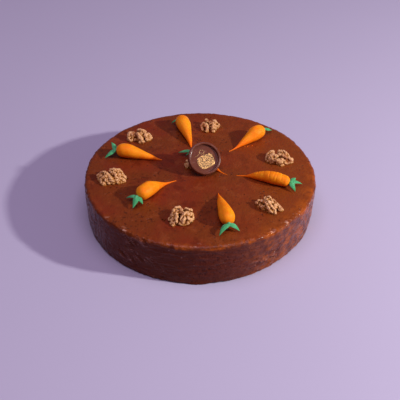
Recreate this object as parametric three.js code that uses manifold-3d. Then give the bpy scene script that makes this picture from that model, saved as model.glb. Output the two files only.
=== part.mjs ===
// Round glazed carrot cake with seven sugar-paste carrots, seven walnut halves and one chocolate disc.
// Millimetres, +Z up. The origin is the middle of the flat underside.

import * as THREE from 'three';
import { mergeVertices } from 'three/addons/utils/BufferGeometryUtils.js';
import Module from 'manifold-3d';

const wasm = await Module();
wasm.setup();

// ---------------------------------------------------------------- driving dimensions

const CAKE_RADIUS = 120;
const CAKE_HEIGHT = 47.2;
const LIP_RADIUS = 6.5; // round edge between the side and the top
const FOOT_RADIUS = 1.2; // small round edge at the underside
const FOOT_INSET = 0.8; // the side leans in by this much at the underside
const SIDE_BELLY = 0.3; // the side swells by this much half way up
const OUTLINE_WAVE = 0.35; // how far the round outline wanders
const OUTLINE_WAVES = [{ count: 2, share: 0.6, phase: 0.7 }, { count: 6, share: 0.4, phase: 1.9 }];
const DENT = { azimuth: -44, spread: 32, depth: 3.8 }; // hollow at the foot, front right
const CAKE_TURNS = 80; // facets round the cake
const WALL_STEPS = 5;
const LIP_STEPS = 5;

const GAP = 0.3; // left between two solids that touch
const TOP = CAKE_HEIGHT + GAP; // what lies on the cake starts here

// Each carrot: where its root tip lies (distance from the middle and azimuth), where its crown points,
// its length and greatest radius, where its round crown starts, how far the root bows sideways, and its
// outline: pairs of a share of the length from the root tip and a share of the greatest thickness. Rings
// are scored round it at shares of its length. A leaf has its turn from the carrot's own direction, its
// length, its width and the height of its tip.
const CARROTS = [
  { tip: [46.5, 151.4], heading: 169.0, length: 49.5, radius: 7.8, crown: 0.84, bow: 0.4, rings: [],
    outline: [[0, 0.05], [0.1, 0.16], [0.2, 0.34], [0.35, 0.53], [0.5, 0.71], [0.67, 0.95], [0.78, 1],
      [1, 0.9]],
    leaves: [{ turn: -56, length: 14.0, width: 5.8, tipHeight: 8.0 },
      { turn: 50, length: 14.5, width: 7.0, tipHeight: 1.6 }] },
  { tip: [47.4, 102.3], heading: 103.9, length: 49.0, radius: 8.1, crown: 0.85, bow: -0.9, rings: [],
    outline: [[0, 0.06], [0.12, 0.24], [0.25, 0.4], [0.4, 0.57], [0.55, 0.77], [0.7, 0.95], [0.78, 1],
      [1, 0.88]],
    leaves: [{ turn: 92, length: 13.0, width: 5.2, tipHeight: 1.8 }] },
  { tip: [49.4, 50.6], heading: 40.8, length: 51.5, radius: 8.0, crown: 0.86, bow: -0.6, rings: [],
    outline: [[0, 0.04], [0.15, 0.08], [0.25, 0.2], [0.35, 0.38], [0.5, 0.6], [0.6, 0.77], [0.7, 0.95],
      [0.77, 1], [1, 0.83]],
    leaves: [{ turn: -14, length: 10.5, width: 7.4, tipHeight: 2.0 }] },
  { tip: [38.0, -8.6], heading: -19.2, length: 57.0, radius: 6.6, crown: 0.93, bow: 1.3,
    rings: [0.39, 0.44, 0.52, 0.62, 0.71, 0.78, 0.86],
    outline: [[0, 0.05], [0.12, 0.1], [0.2, 0.2], [0.27, 0.4], [0.37, 0.62], [0.5, 0.78], [0.65, 0.9],
      [0.78, 1], [1, 0.96]],
    leaves: [{ turn: 74, length: 10.5, width: 6.2, tipHeight: 5.0 },
      { turn: 24, length: 12.5, width: 6.0, tipHeight: 2.2 },
      { turn: -52, length: 12.0, width: 6.4, tipHeight: 1.6 }] },
  { tip: [41.3, -63.5], heading: -80.6, length: 54.5, radius: 7.7, crown: 0.86, bow: -0.5, rings: [],
    outline: [[0, 0.05], [0.1, 0.18], [0.2, 0.33], [0.3, 0.49], [0.42, 0.62], [0.57, 0.8], [0.7, 0.93],
      [0.8, 1], [1, 0.96]],
    leaves: [{ turn: -47, length: 16.0, width: 6.8, tipHeight: 1.6 },
      { turn: 52, length: 12.0, width: 6.8, tipHeight: 1.6 }] },
  { tip: [28.7, -148.3], heading: -137.6, length: 50.5, radius: 7.8, crown: 0.85, bow: -2.6, rings: [],
    outline: [[0, 0.05], [0.18, 0.11], [0.28, 0.24], [0.37, 0.43], [0.45, 0.6], [0.53, 0.74],
      [0.62, 0.91], [0.7, 1], [1, 0.93]],
    leaves: [{ turn: -58, length: 12.0, width: 6.0, tipHeight: 2.0 },
      { turn: 33, length: 14.0, width: 6.8, tipHeight: 1.6 },
      { turn: 88, length: 10.5, width: 6.2, tipHeight: 2.6 }] },
  { tip: [28.5, -9.6], heading: 135.6, length: 50.5, radius: 6.8, crown: 0.85, bow: 1.6, rings: [],
    outline: [[0, 0.04], [0.12, 0.09], [0.2, 0.22], [0.3, 0.42], [0.5, 0.68], [0.7, 0.94], [0.8, 1],
      [1, 0.92]],
    leaves: [{ turn: 43, length: 15.0, width: 5.6, tipHeight: 3.0 },
      { turn: 74, length: 7.5, width: 4.2, tipHeight: 1.8 }] },
];

// Each walnut half: distance from the middle and azimuth, direction of its cleft, length along the
// cleft, width across it, height, how deep the cleft is, and the seed of its bumps.
const WALNUTS = [
  { at: [93.3, 136.2], heading: 78, length: 22, width: 28, height: 11.5, cleft: 0.55, seed: 1.3 },
  { at: [87.0, 82.2], heading: -92, length: 19, width: 23, height: 11.0, cleft: 0.75, seed: 2.1 },
  { at: [86.3, 14.7], heading: 118, length: 24, width: 29, height: 12.0, cleft: 0.45, seed: 3.7 },
  { at: [90.2, -40.4], heading: -35, length: 29, width: 24, height: 12.0, cleft: 0.65, seed: 4.9 },
  { at: [79.6, -104.6], heading: -88, length: 28, width: 28, height: 13.0, cleft: 0.8, seed: 5.4 },
  { at: [93.8, -172.1], heading: 174, length: 31, width: 24, height: 11.5, cleft: 0.5, seed: 6.8 },
  { at: [13.9, 127.7], heading: 135, length: 18, width: 13, height: 8.0, cleft: 0.5, seed: 7.2 },
];

// The chocolate disc leans back: its face looks up and towards the front.
const DISC = {
  centre: [5.2, 2.4], // middle of its face, seen from above
  faceHeight: 16.9, // height of that point over the cake
  radius: 17.3,
  thickness: 5.6,
  rimWidth: 2.6,
  recess: 3.1,
  rounding: 1.2,
  faceAzimuth: -70,
  faceElevation: 46,
  turns: 32,
};

const FOOT_SHARE = 0.6; // the disc's back edge and inner edge are rounded less than its front edge
const INNER_SHARE = 0.8;
const WALL_DRAFT = 0.4; // its inner wall leans by this much

const CARROT_SIDES = 12;
const SLOPE_STEPS = 11;
const CROWN_STEPS = 4;
const CROWN_POWER = 2.4; // 2 would make the crown's end a half ellipse, more is blunter
const RING_DEPTH = 0.25;
const RING_REACH = 0.012; // half the width of a scored ring, as a share of the carrot's length
const BOW_PEAK = 27 / 4; // brings the greatest value of s (1 - s)^2 to 1

// A leaf: its thickness, how far towards its foot it is widest (less is nearer), how full its edge is, how
// much narrower it gets, how high it arches for its length, how late it droops, and the height of its
// foot as a share of the carrot's radius.
const LEAF = { thickness: 2.4, widest: 0.62, fullness: 0.8, taper: 0.3, arch: 0.08, droop: 1.2, foot: 0.8 };
const LEAF_SIDES = 6;
const LEAF_STEPS = 6;
const STALK_RADIUS = 1.9;
const STALK_SIDES = 6;
const STALK_RINGS = 4;

// A walnut half's bumps, as shares of its size: lobes round its outline, ridges out from its cleft, the
// notch where the cleft leaves the outline, and the flat layer under the dome.
const BUMPS = {
  lobes: [{ count: 5, size: 0.07 }, { count: 8, size: -0.05 }],
  ridge: { size: 0.08, along: 9, across: 4 },
  cleftWidth: 0.2,
  closedEnd: 0.35,
  opens: [-0.6, 0.5],
  notch: { depth: 0.22, width: 0.22, from: 0.4 },
  base: 0.12,
};
const WALNUT_TURNS = 20;
const WALNUT_RINGS = 9;

// ---------------------------------------------------------------- materials

const GLAZE = new THREE.MeshStandardMaterial({ color: 0x71301a, roughness: 0.22, metalness: 0 });
const SUGAR_ORANGE = new THREE.MeshStandardMaterial({ color: 0xf28a20, roughness: 0.5, metalness: 0 });
const SUGAR_GREEN = new THREE.MeshStandardMaterial({ color: 0x53ac72, roughness: 0.5, metalness: 0 });
const WALNUT = new THREE.MeshStandardMaterial({ color: 0xb9814f, roughness: 0.6, metalness: 0 });
const CHOCOLATE = new THREE.MeshStandardMaterial({ color: 0x6e3c30, roughness: 0.3, metalness: 0 });

// ---------------------------------------------------------------- small helpers

const rad = THREE.MathUtils.degToRad;

function polar([distance, azimuth]) {
  return new THREE.Vector2(distance * Math.cos(rad(azimuth)), distance * Math.sin(rad(azimuth)));
}

// One closed body: vertices shared, only positions kept.
function closed(geometry) {
  geometry.deleteAttribute('normal');
  geometry.deleteAttribute('uv');
  return mergeVertices(geometry, 1e-4);
}

// Moves every vertex of a closed geometry by move(vector).
function reshape(geometry, move) {
  const place = geometry.attributes.position;
  const point = new THREE.Vector3();
  for (let i = 0; i < place.count; i += 1) {
    point.fromBufferAttribute(place, i);
    move(point);
    place.setXYZ(i, point.x, point.y, point.z);
  }
  geometry.computeVertexNormals();
  return geometry;
}

// A body turned about Z from profile points [radius, height].
function turned(profile, turns) {
  const geometry = new THREE.LatheGeometry(profile.map(([r, z]) => new THREE.Vector2(r, z)), turns);
  geometry.rotateX(Math.PI / 2);
  return closed(geometry);
}

function arc(centreR, centreZ, radius, from, to, steps) {
  return Array.from({ length: steps + 1 }, (_, i) => {
    const angle = rad(from + ((to - from) * i) / steps);
    return [centreR + radius * Math.cos(angle), centreZ + radius * Math.sin(angle)];
  });
}

function toSolid(geometry) {
  const mesh = new wasm.Mesh({
    numProp: 3,
    vertProperties: new Float32Array(geometry.attributes.position.array),
    triVerts: new Uint32Array(geometry.index.array),
  });
  return new wasm.Manifold(mesh);
}

function fromSolid(solid) {
  const mesh = solid.getMesh();
  const geometry = new THREE.BufferGeometry();
  geometry.setAttribute('position', new THREE.BufferAttribute(mesh.vertProperties, 3));
  geometry.setIndex(new THREE.BufferAttribute(mesh.triVerts, 1));
  geometry.computeVertexNormals();
  return geometry;
}

function joined(geometries) {
  return fromSolid(geometries.map(toSolid).reduce((sum, next) => sum.add(next)));
}

// Signed angle in degrees between two azimuths, -180 to 180.
function between(a, b) {
  return THREE.MathUtils.euclideanModulo(a - b + 180, 360) - 180;
}

// ---------------------------------------------------------------- cake

// The outline wanders by even waves only, so it stays centred on the origin.
function outline(azimuth) {
  const a = rad(azimuth);
  const wave = OUTLINE_WAVES.reduce((sum, { count, share, phase }) => {
    return sum + share * Math.cos(count * a + phase);
  }, 0);
  return CAKE_RADIUS + OUTLINE_WAVE * wave;
}

function footInset(azimuth) {
  const away = between(azimuth, DENT.azimuth) / DENT.spread;
  return FOOT_INSET + DENT.depth * Math.exp(-away * away);
}

function cakeBody() {
  const wall = Array.from({ length: WALL_STEPS - 1 }, (_, i) => {
    const up = (i + 1) / WALL_STEPS;
    return [
      CAKE_RADIUS + SIDE_BELLY * Math.sin(Math.PI * up),
      FOOT_RADIUS + up * (CAKE_HEIGHT - LIP_RADIUS - FOOT_RADIUS),
    ];
  });
  const profile = [
    [0, 0],
    ...arc(CAKE_RADIUS - FOOT_RADIUS, FOOT_RADIUS, FOOT_RADIUS, -90, 0, 2),
    ...wall,
    ...arc(CAKE_RADIUS - LIP_RADIUS, CAKE_HEIGHT - LIP_RADIUS, LIP_RADIUS, 0, 90, LIP_STEPS),
    [0, CAKE_HEIGHT],
  ];
  return reshape(turned(profile, CAKE_TURNS), (point) => {
    const azimuth = THREE.MathUtils.radToDeg(Math.atan2(point.y, point.x));
    const lean = footInset(azimuth) * Math.max(0, 1 - point.z / CAKE_HEIGHT);
    const grow = (outline(azimuth) - lean) / CAKE_RADIUS;
    point.x *= grow;
    point.y *= grow;
  });
}

// ---------------------------------------------------------------- carrots

// The outline's share of the greatest thickness at s, 0 at the root tip and 1 at the crown.
function thicknessAt(outline, s) {
  const next = Math.max(1, outline.findIndex(([at]) => at >= s));
  const [from, low] = outline[next - 1];
  const [to, high] = outline[next];
  return THREE.MathUtils.mapLinear(s, from, to, low, high);
}

// Radius of a carrot at s.
function carrotRadius(carrot, s) {
  const groove = carrot.rings.includes(s) ? RING_DEPTH : 0;
  const end = Math.max(0, (s - carrot.crown) / (1 - carrot.crown));
  return (carrot.radius * thicknessAt(carrot.outline, s) - groove) * Math.sqrt(1 - end ** CROWN_POWER);
}

// The root bows to one side, most at a third of the length, and its two ends stay in line.
function carrotBow(carrot, s) {
  return carrot.bow * BOW_PEAK * s * (1 - s) ** 2;
}

// Along +X, root tip at the origin, lying on z = 0.
function carrotBody(carrot) {
  const near = (s) => carrot.rings.some((ring) => Math.abs(ring - s) < 2 * RING_REACH);
  const slope = Array.from({ length: SLOPE_STEPS }, (_, i) => (carrot.crown * i) / SLOPE_STEPS);
  const rings = carrot.rings.flatMap((ring) => [ring - RING_REACH, ring, ring + RING_REACH]);
  const crown = Array.from({ length: CROWN_STEPS }, (_, i) => {
    const turn = (Math.PI / 2) * (i / CROWN_STEPS);
    return carrot.crown + (1 - carrot.crown) * Math.sin(turn);
  });
  const stations = [...slope.filter((s) => !near(s)), ...rings, ...crown].sort((a, b) => a - b);
  const profile = [[0, 0], ...stations.map((s) => [carrotRadius(carrot, s), s]), [0, 1]];
  return reshape(turned(profile, CARROT_SIDES), (point) => {
    const s = point.z;
    const lift = carrot.radius * thicknessAt(carrot.outline, Math.min(s, carrot.crown));
    point.set(s * carrot.length, carrotBow(carrot, s) + point.x, lift + point.y);
  });
}

// One pointed leaf along +X from the origin, arched a little and ending at the height of its tip.
function leafBlade(leaf, rootHeight) {
  const profile = [[0, 0]];
  for (let i = 1; i < LEAF_STEPS; i += 1) {
    const s = i / LEAF_STEPS;
    profile.push([0.5 * Math.sin(Math.PI * s ** LEAF.widest) ** LEAF.fullness * (1 - LEAF.taper * s), s]);
  }
  profile.push([0, 1]);
  const drop = leaf.tipHeight - rootHeight;
  return reshape(turned(profile, LEAF_SIDES), (point) => {
    const s = point.z;
    const arch = LEAF.arch * leaf.length * Math.sin(Math.PI * s);
    const middle = rootHeight + drop * s ** LEAF.droop + arch;
    point.set(s * leaf.length, point.x * leaf.width, middle + point.y * LEAF.thickness);
  });
}

function carrotLeaves(carrot) {
  const rootHeight = carrot.radius * LEAF.foot;
  const blades = carrot.leaves.map((leaf) => {
    const blade = leafBlade(leaf, rootHeight);
    blade.rotateZ(rad(leaf.turn));
    return blade;
  });
  const stalk = closed(new THREE.SphereGeometry(STALK_RADIUS, STALK_SIDES, STALK_RINGS));
  stalk.translate(0, 0, rootHeight);
  return joined([stalk, ...blades]);
}

// ---------------------------------------------------------------- walnut halves

// A dome with a flat underside, a cleft along +X and ridges that run out from it.
function walnutHalf(walnut) {
  const { lobes, ridge, cleftWidth, closedEnd, opens, notch, base } = BUMPS;
  const ball = closed(new THREE.SphereGeometry(1, WALNUT_TURNS, WALNUT_RINGS));
  ball.rotateX(Math.PI / 2);
  return reshape(ball, (point) => {
    const azimuth = Math.atan2(point.y, point.x);
    const side = Math.abs(point.y);
    const lobed = lobes.reduce((sum, { count, size }) => {
      const phase = Math.sign(size) * walnut.seed;
      return sum + Math.abs(size) * Math.cos(count * azimuth + phase);
    }, 0);
    const flat = 1 + lobed * (1 - point.z ** 2);
    const open = THREE.MathUtils.lerp(closedEnd, 1, THREE.MathUtils.smoothstep(point.x, ...opens));
    const cleft = walnut.cleft * open * Math.exp(-((side / cleftWidth) ** 2));
    const ridges = ridge.size * Math.sin(ridge.along * point.x + ridge.across * side + walnut.seed);
    const cut = notch.depth * Math.exp(-((side / notch.width) ** 2));
    const notched = 1 - cut * THREE.MathUtils.smoothstep(point.x, notch.from, 1);
    const height = point.z > 0 ? point.z * (1 - cleft + ridges) : point.z * base;
    point.set(
      0.5 * walnut.length * point.x * flat * notched,
      0.5 * walnut.width * point.y * flat,
      walnut.height * THREE.MathUtils.lerp(base, 1, height),
    );
  });
}

// ---------------------------------------------------------------- chocolate disc

// A flat disc with a raised round rim; the middle of its face is at the origin, level with the rim.
function chocolateDisc() {
  const { radius, thickness, rimWidth, recess, rounding } = DISC;
  const foot = rounding * FOOT_SHARE;
  const inner = rounding * INNER_SHARE;
  const floorRadius = radius - rimWidth;
  const profile = [
    [0, -thickness],
    ...arc(radius - foot, -thickness + foot, foot, -90, 0, 2),
    ...arc(radius - rounding, -rounding, rounding, 0, 90, 3),
    ...arc(floorRadius + inner, -inner, inner, 90, 180, 2),
    [floorRadius - WALL_DRAFT, -recess],
    [0, -recess],
  ];
  return turned(profile, DISC.turns);
}

// ---------------------------------------------------------------- the cake, put together

function named(name, geometry, material) {
  const mesh = new THREE.Mesh(geometry, material);
  mesh.name = name;
  return mesh;
}

const cake = new THREE.Group();
cake.add(named('cake_body', cakeBody(), GLAZE));

CARROTS.forEach((carrot, i) => {
  const tip = polar(carrot.tip);
  const lying = new THREE.Group();
  lying.position.set(tip.x, tip.y, TOP);
  lying.rotation.z = rad(carrot.heading);
  lying.add(named(`carrot_${i + 1}`, carrotBody(carrot), SUGAR_ORANGE));
  const leaves = named(`carrot_leaves_${i + 1}`, carrotLeaves(carrot), SUGAR_GREEN);
  leaves.position.x = carrot.length + STALK_RADIUS + GAP;
  lying.add(leaves);
  cake.add(lying);
});

WALNUTS.forEach((walnut, i) => {
  const middle = polar(walnut.at);
  const half = named(`walnut_${i + 1}`, walnutHalf(walnut), WALNUT);
  half.position.set(middle.x, middle.y, TOP);
  half.rotation.z = rad(walnut.heading);
  cake.add(half);
});

const disc = named('chocolate_disc', chocolateDisc(), CHOCOLATE);
disc.position.set(DISC.centre[0], DISC.centre[1], CAKE_HEIGHT + DISC.faceHeight);
disc.rotation.set(0, rad(90 - DISC.faceElevation), rad(DISC.faceAzimuth), 'ZYX');
cake.add(disc);

export default cake;
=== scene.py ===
"""A round carrot cake under poured brown glaze, dressed with sugar-paste carrots and walnut halves.

A chocolate disc with a gold patch leans in the middle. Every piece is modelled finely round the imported
model, in metres with +Z up, and each class keeps its own sizes in millimetres.
"""

import logging
import math
import random
from collections.abc import Callable, Iterable
from dataclasses import dataclass
from enum import Enum

import bmesh
import bpy
import numpy as np
from mathutils import Matrix, Vector, noise


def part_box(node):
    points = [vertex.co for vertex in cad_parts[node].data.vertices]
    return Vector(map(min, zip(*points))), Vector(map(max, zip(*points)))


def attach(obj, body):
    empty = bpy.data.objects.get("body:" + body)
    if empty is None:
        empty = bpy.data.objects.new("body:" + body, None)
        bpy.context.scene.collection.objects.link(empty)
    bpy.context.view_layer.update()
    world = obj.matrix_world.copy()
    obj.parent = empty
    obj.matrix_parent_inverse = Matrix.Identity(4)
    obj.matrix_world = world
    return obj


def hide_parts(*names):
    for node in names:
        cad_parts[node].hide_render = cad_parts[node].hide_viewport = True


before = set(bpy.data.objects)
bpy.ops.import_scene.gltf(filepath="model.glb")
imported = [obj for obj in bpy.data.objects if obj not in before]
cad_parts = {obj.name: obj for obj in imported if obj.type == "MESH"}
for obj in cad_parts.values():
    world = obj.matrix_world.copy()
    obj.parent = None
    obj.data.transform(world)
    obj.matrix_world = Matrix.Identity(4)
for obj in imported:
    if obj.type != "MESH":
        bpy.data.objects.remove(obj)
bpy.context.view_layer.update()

log = logging.getLogger("carrot_cake")

MM = 0.001
BODY = "root"
GLAZE_NUMBERS = ("rim", "side", "painted_glow", "wet", "crest", "painted_light")  # what the cake's mesh tells its finish, among it where light, glow and highlights are painted

Colour = tuple[float, float, float]
Point = tuple[float, float, float]
Span = tuple[float, float]


class Slot(Enum):
    """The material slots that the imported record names."""

    GLAZE = "glaze"
    SUGAR_ORANGE = "sugar_orange"
    SUGAR_GREEN = "sugar_green"
    WALNUT = "walnut"
    CHOCOLATE = "chocolate"


# ---------------------------------------------------------------- small sums


def smoothstep(low: float, high: float, value: float) -> float:
    """Rises smoothly from 0 at low to 1 at high.

    Args:
        low: The value at which the rise starts.
        high: The value at which it ends; it may be less than low, for a fall.
        value: The value asked about.

    Returns:
        A share from 0 to 1.
    """
    share = min(1.0, max(0.0, (value - low) / (high - low)))
    return share * share * (3 - 2 * share)


def hump(away: float, width: float, power: float = 2) -> float:
    """A smooth hump that is 1 in its middle and fades over a width.

    Args:
        away: Distance from the middle.
        width: Distance at which the hump has sunk to about a third.
        power: 2 for a round hump, more for a flat one with steep sides.

    Returns:
        A share from 0 to 1.
    """
    return math.exp(-(abs(away / width) ** power))


def ripple(place: Iterable[float], wave: float | Point, seed: float = 0.0) -> float:
    """Smooth noise between about -1 and 1.

    Args:
        place: The point asked about.
        wave: Length of one wave, the same along every axis or one length for each.
        seed: Picks another pattern.

    Returns:
        The height of the noise there.
    """
    lengths = wave if isinstance(wave, tuple) else (wave, wave, wave)
    x, y, z = (part / length for part, length in zip(place, lengths))
    return noise.noise(Vector((x + seed, y - 2 * seed, z + 3 * seed)))


def turn_between(a: float, b: float) -> float:
    """The signed angle in degrees from azimuth b to azimuth a, from -180 to 180."""
    return (a - b + 180) % 360 - 180


# ---------------------------------------------------------------- making pieces


def turned(profile: list[tuple[float, float]], steps: int) -> bmesh.types.BMesh:
    """Turns a profile about the Z axis into one closed shape.

    Args:
        profile: Points of radius and height in millimetres that start and end on the axis.
        steps: Facets round the axis.

    Returns:
        The closed shape, in metres.
    """
    shape = bmesh.new()
    points = [shape.verts.new((radius * MM, 0, height * MM)) for radius, height in profile]
    edges = [shape.edges.new(pair) for pair in zip(points, points[1:])]
    bmesh.ops.spin(
        shape,
        geom=points + edges,
        cent=(0, 0, 0),
        axis=(0, 0, 1),
        dvec=(0, 0, 0),
        angle=math.tau,
        steps=steps,
        use_merge=True,
        use_normal_flip=False,
        use_duplicate=False,
    )
    bmesh.ops.remove_doubles(shape, verts=shape.verts, dist=1e-6)
    bmesh.ops.recalc_face_normals(shape, faces=shape.faces)
    return shape


def fused(shape: bmesh.types.BMesh, voxel: float, smoothing: int) -> bmesh.types.BMesh:
    """Grows overlapping lumps together into one skin.

    Args:
        shape: The lumps, in metres. It is used up.
        voxel: Fineness of the new skin in millimetres.
        smoothing: How many times the skin is smoothed.

    Returns:
        One closed shape.
    """
    mesh = bpy.data.meshes.new("lumps")
    shape.to_mesh(mesh)
    shape.free()
    lumps = bpy.data.objects.new("lumps", mesh)
    bpy.context.scene.collection.objects.link(lumps)
    remesh = lumps.modifiers.new("skin", "REMESH")
    remesh.mode = "VOXEL"
    remesh.voxel_size = voxel * MM
    bpy.context.view_layer.update()
    skin = bpy.data.meshes.new_from_object(lumps.evaluated_get(bpy.context.evaluated_depsgraph_get()))
    bpy.data.objects.remove(lumps)
    bpy.data.meshes.remove(mesh)
    made = bmesh.new()
    made.from_mesh(skin)
    bpy.data.meshes.remove(skin)
    for _ in range(smoothing):
        bmesh.ops.smooth_vert(
            made,
            verts=made.verts,
            factor=0.5,
            use_axis_x=True,
            use_axis_y=True,
            use_axis_z=True,
        )
    made.normal_update()
    return made


def join_in(shape: bmesh.types.BMesh, part: bmesh.types.BMesh) -> None:
    """Adds a part's faces to a shape.

    Args:
        shape: The shape that grows.
        part: What is added. It is used up.
    """
    mesh = bpy.data.meshes.new("part")
    part.to_mesh(mesh)
    part.free()
    shape.from_mesh(mesh)
    bpy.data.meshes.remove(mesh)


def add_piece(
    name: str,
    shape: bmesh.types.BMesh,
    material: bpy.types.Material,
    stands_for: tuple[str, ...] = (),
) -> bpy.types.Object:
    """Makes a finished shape into a piece that rides with the cake.

    Args:
        name: The piece's name.
        shape: Its mesh, in place, in metres. It is used up.
        material: Its finish.
        stands_for: The CAD nodes that the piece replaces.

    Returns:
        The new object.
    """
    mesh = bpy.data.meshes.new(name)
    shape.to_mesh(mesh)
    shape.free()
    mesh.shade_smooth()
    mesh.materials.append(material)
    piece = bpy.data.objects.new(name, mesh)
    bpy.context.scene.collection.objects.link(piece)
    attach(piece, BODY)
    if stands_for:
        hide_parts(*stands_for)
    triangles = sum(len(face.vertices) - 2 for face in mesh.polygons)
    log.info("%s: %d triangles, finish %s", name, triangles, material.name)
    return piece


def hollow_depths(shape: bmesh.types.BMesh, passes: int) -> np.ndarray:
    """How far each vertex stands out of, or lies under, a much smoother copy of the shape.

    Args:
        shape: The shape, in metres.
        passes: How often the copy is smoothed; more passes find wider hollows.

    Returns:
        One height for each vertex, in millimetres, below 0 in a hollow.
    """
    shape.verts.ensure_lookup_table()
    place = np.array([vertex.co for vertex in shape.verts])
    normals = np.array([vertex.normal for vertex in shape.verts])
    ends = np.array([[vertex.index for vertex in edge.verts] for edge in shape.edges])
    here = np.concatenate((ends[:, 0], ends[:, 1]))
    there = np.concatenate((ends[:, 1], ends[:, 0]))
    count = np.bincount(here, minlength=len(place))[:, None]
    smooth = place.copy()
    for _ in range(passes):
        total = [np.bincount(here, smooth[there, axis], len(place)) for axis in range(3)]
        smooth = np.stack(total, axis=1) / count
    return ((place - smooth) * normals).sum(axis=1) / MM


# ---------------------------------------------------------------- materials


class Shading:
    """Adds nodes to one node tree and joins them."""

    def __init__(self, tree: bpy.types.NodeTree) -> None:
        """Keeps the tree that the nodes go into."""
        self.tree = tree

    def feed(self, socket: bpy.types.NodeSocket, value: object) -> None:
        """Joins a socket to another node's output, or sets it to a plain value.

        Args:
            socket: The input that is fed.
            value: An output socket, a number or a colour.
        """
        if isinstance(value, bpy.types.NodeSocket):
            self.tree.links.new(value, socket)
        elif socket.type == "RGBA" and len(value) == 3:
            socket.default_value = (*value, 1.0)
        else:
            socket.default_value = value

    def node(self, kind: str, inputs: dict[str, object] | None = None, **settings: object) -> bpy.types.Node:
        """Adds one node.

        Args:
            kind: The node's type name.
            inputs: What each named input is fed.
            settings: Properties of the node itself.

        Returns:
            The new node.
        """
        node = self.tree.nodes.new(kind)
        for name, value in settings.items():
            setattr(node, name, value)
        for name, value in (inputs or {}).items():
            self.feed(node.inputs[name], value)
        return node

    def mixed(self, share: object, low: object, high: object) -> bpy.types.NodeSocket:
        """Mixes two colours.

        Args:
            share: 0 for low, 1 for high.
            low: The first colour, or an output that gives it.
            high: The second colour, or an output that gives it.

        Returns:
            The mixed colour's output.
        """
        node = self.node("ShaderNodeMix", data_type="RGBA")
        for index, value in ((0, share), (6, low), (7, high)):
            self.feed(node.inputs[index], value)
        return node.outputs[2]

    def sum(self, kind: str, first: object, second: object) -> bpy.types.NodeSocket:
        """One step of arithmetic, kept between 0 and 1.

        Args:
            kind: The operation, such as MULTIPLY.
            first: A number or an output.
            second: A number or an output.

        Returns:
            The result's output.
        """
        node = self.node("ShaderNodeMath", operation=kind, use_clamp=True)
        self.feed(node.inputs[0], first)
        self.feed(node.inputs[1], second)
        return node.outputs[0]

    def times(self, first: object, *others: object) -> bpy.types.NodeSocket:
        """The product of numbers and outputs, kept between 0 and 1.

        Args:
            first: A number or an output.
            others: What it is multiplied by, one after another.

        Returns:
            The result's output.
        """
        for other in others:
            first = self.sum("MULTIPLY", first, other)
        return first

    def tinted(self, colour: object, *tints: tuple[object, object]) -> object:
        """Lays tints over a colour, one after another.

        Args:
            colour: The first colour, or an output that gives it.
            tints: The share and the colour of each tint.

        Returns:
            The last mixture.
        """
        for share, tint in tints:
            colour = self.mixed(share, colour, tint)
        return colour

    def ranged(self, value: object, low: object, high: object, to: Span) -> bpy.types.NodeSocket:
        """Maps a value from one range to another, smoothly and without going past its ends.

        Args:
            value: The number or output that is mapped.
            low: Where the first range starts.
            high: Where it ends.
            to: The second range.

        Returns:
            The mapped value's output.
        """
        inputs = {"Value": value, "From Min": low, "From Max": high, "To Min": to[0], "To Max": to[1]}
        return self.node("ShaderNodeMapRange", inputs, interpolation_type="SMOOTHSTEP").outputs["Result"]

    def attribute(self, name: str) -> bpy.types.NodeSocket:
        """The output of a number that is stored on the mesh."""
        return self.node("ShaderNodeAttribute", attribute_name=name).outputs["Fac"]

    def place(self) -> bpy.types.NodeSocket:
        """The output of the object's own coordinates, in metres."""
        return self.node("ShaderNodeTexCoord").outputs["Object"]

    def group(self, tree: bpy.types.NodeTree, inputs: dict[str, object]) -> bpy.types.NodeSocket:
        """Adds a shared effect.

        Args:
            tree: The effect's node group.
            inputs: What its inputs are fed.

        Returns:
            Its one output.
        """
        return self.node("ShaderNodeGroup", inputs, node_tree=tree).outputs[0]


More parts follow.
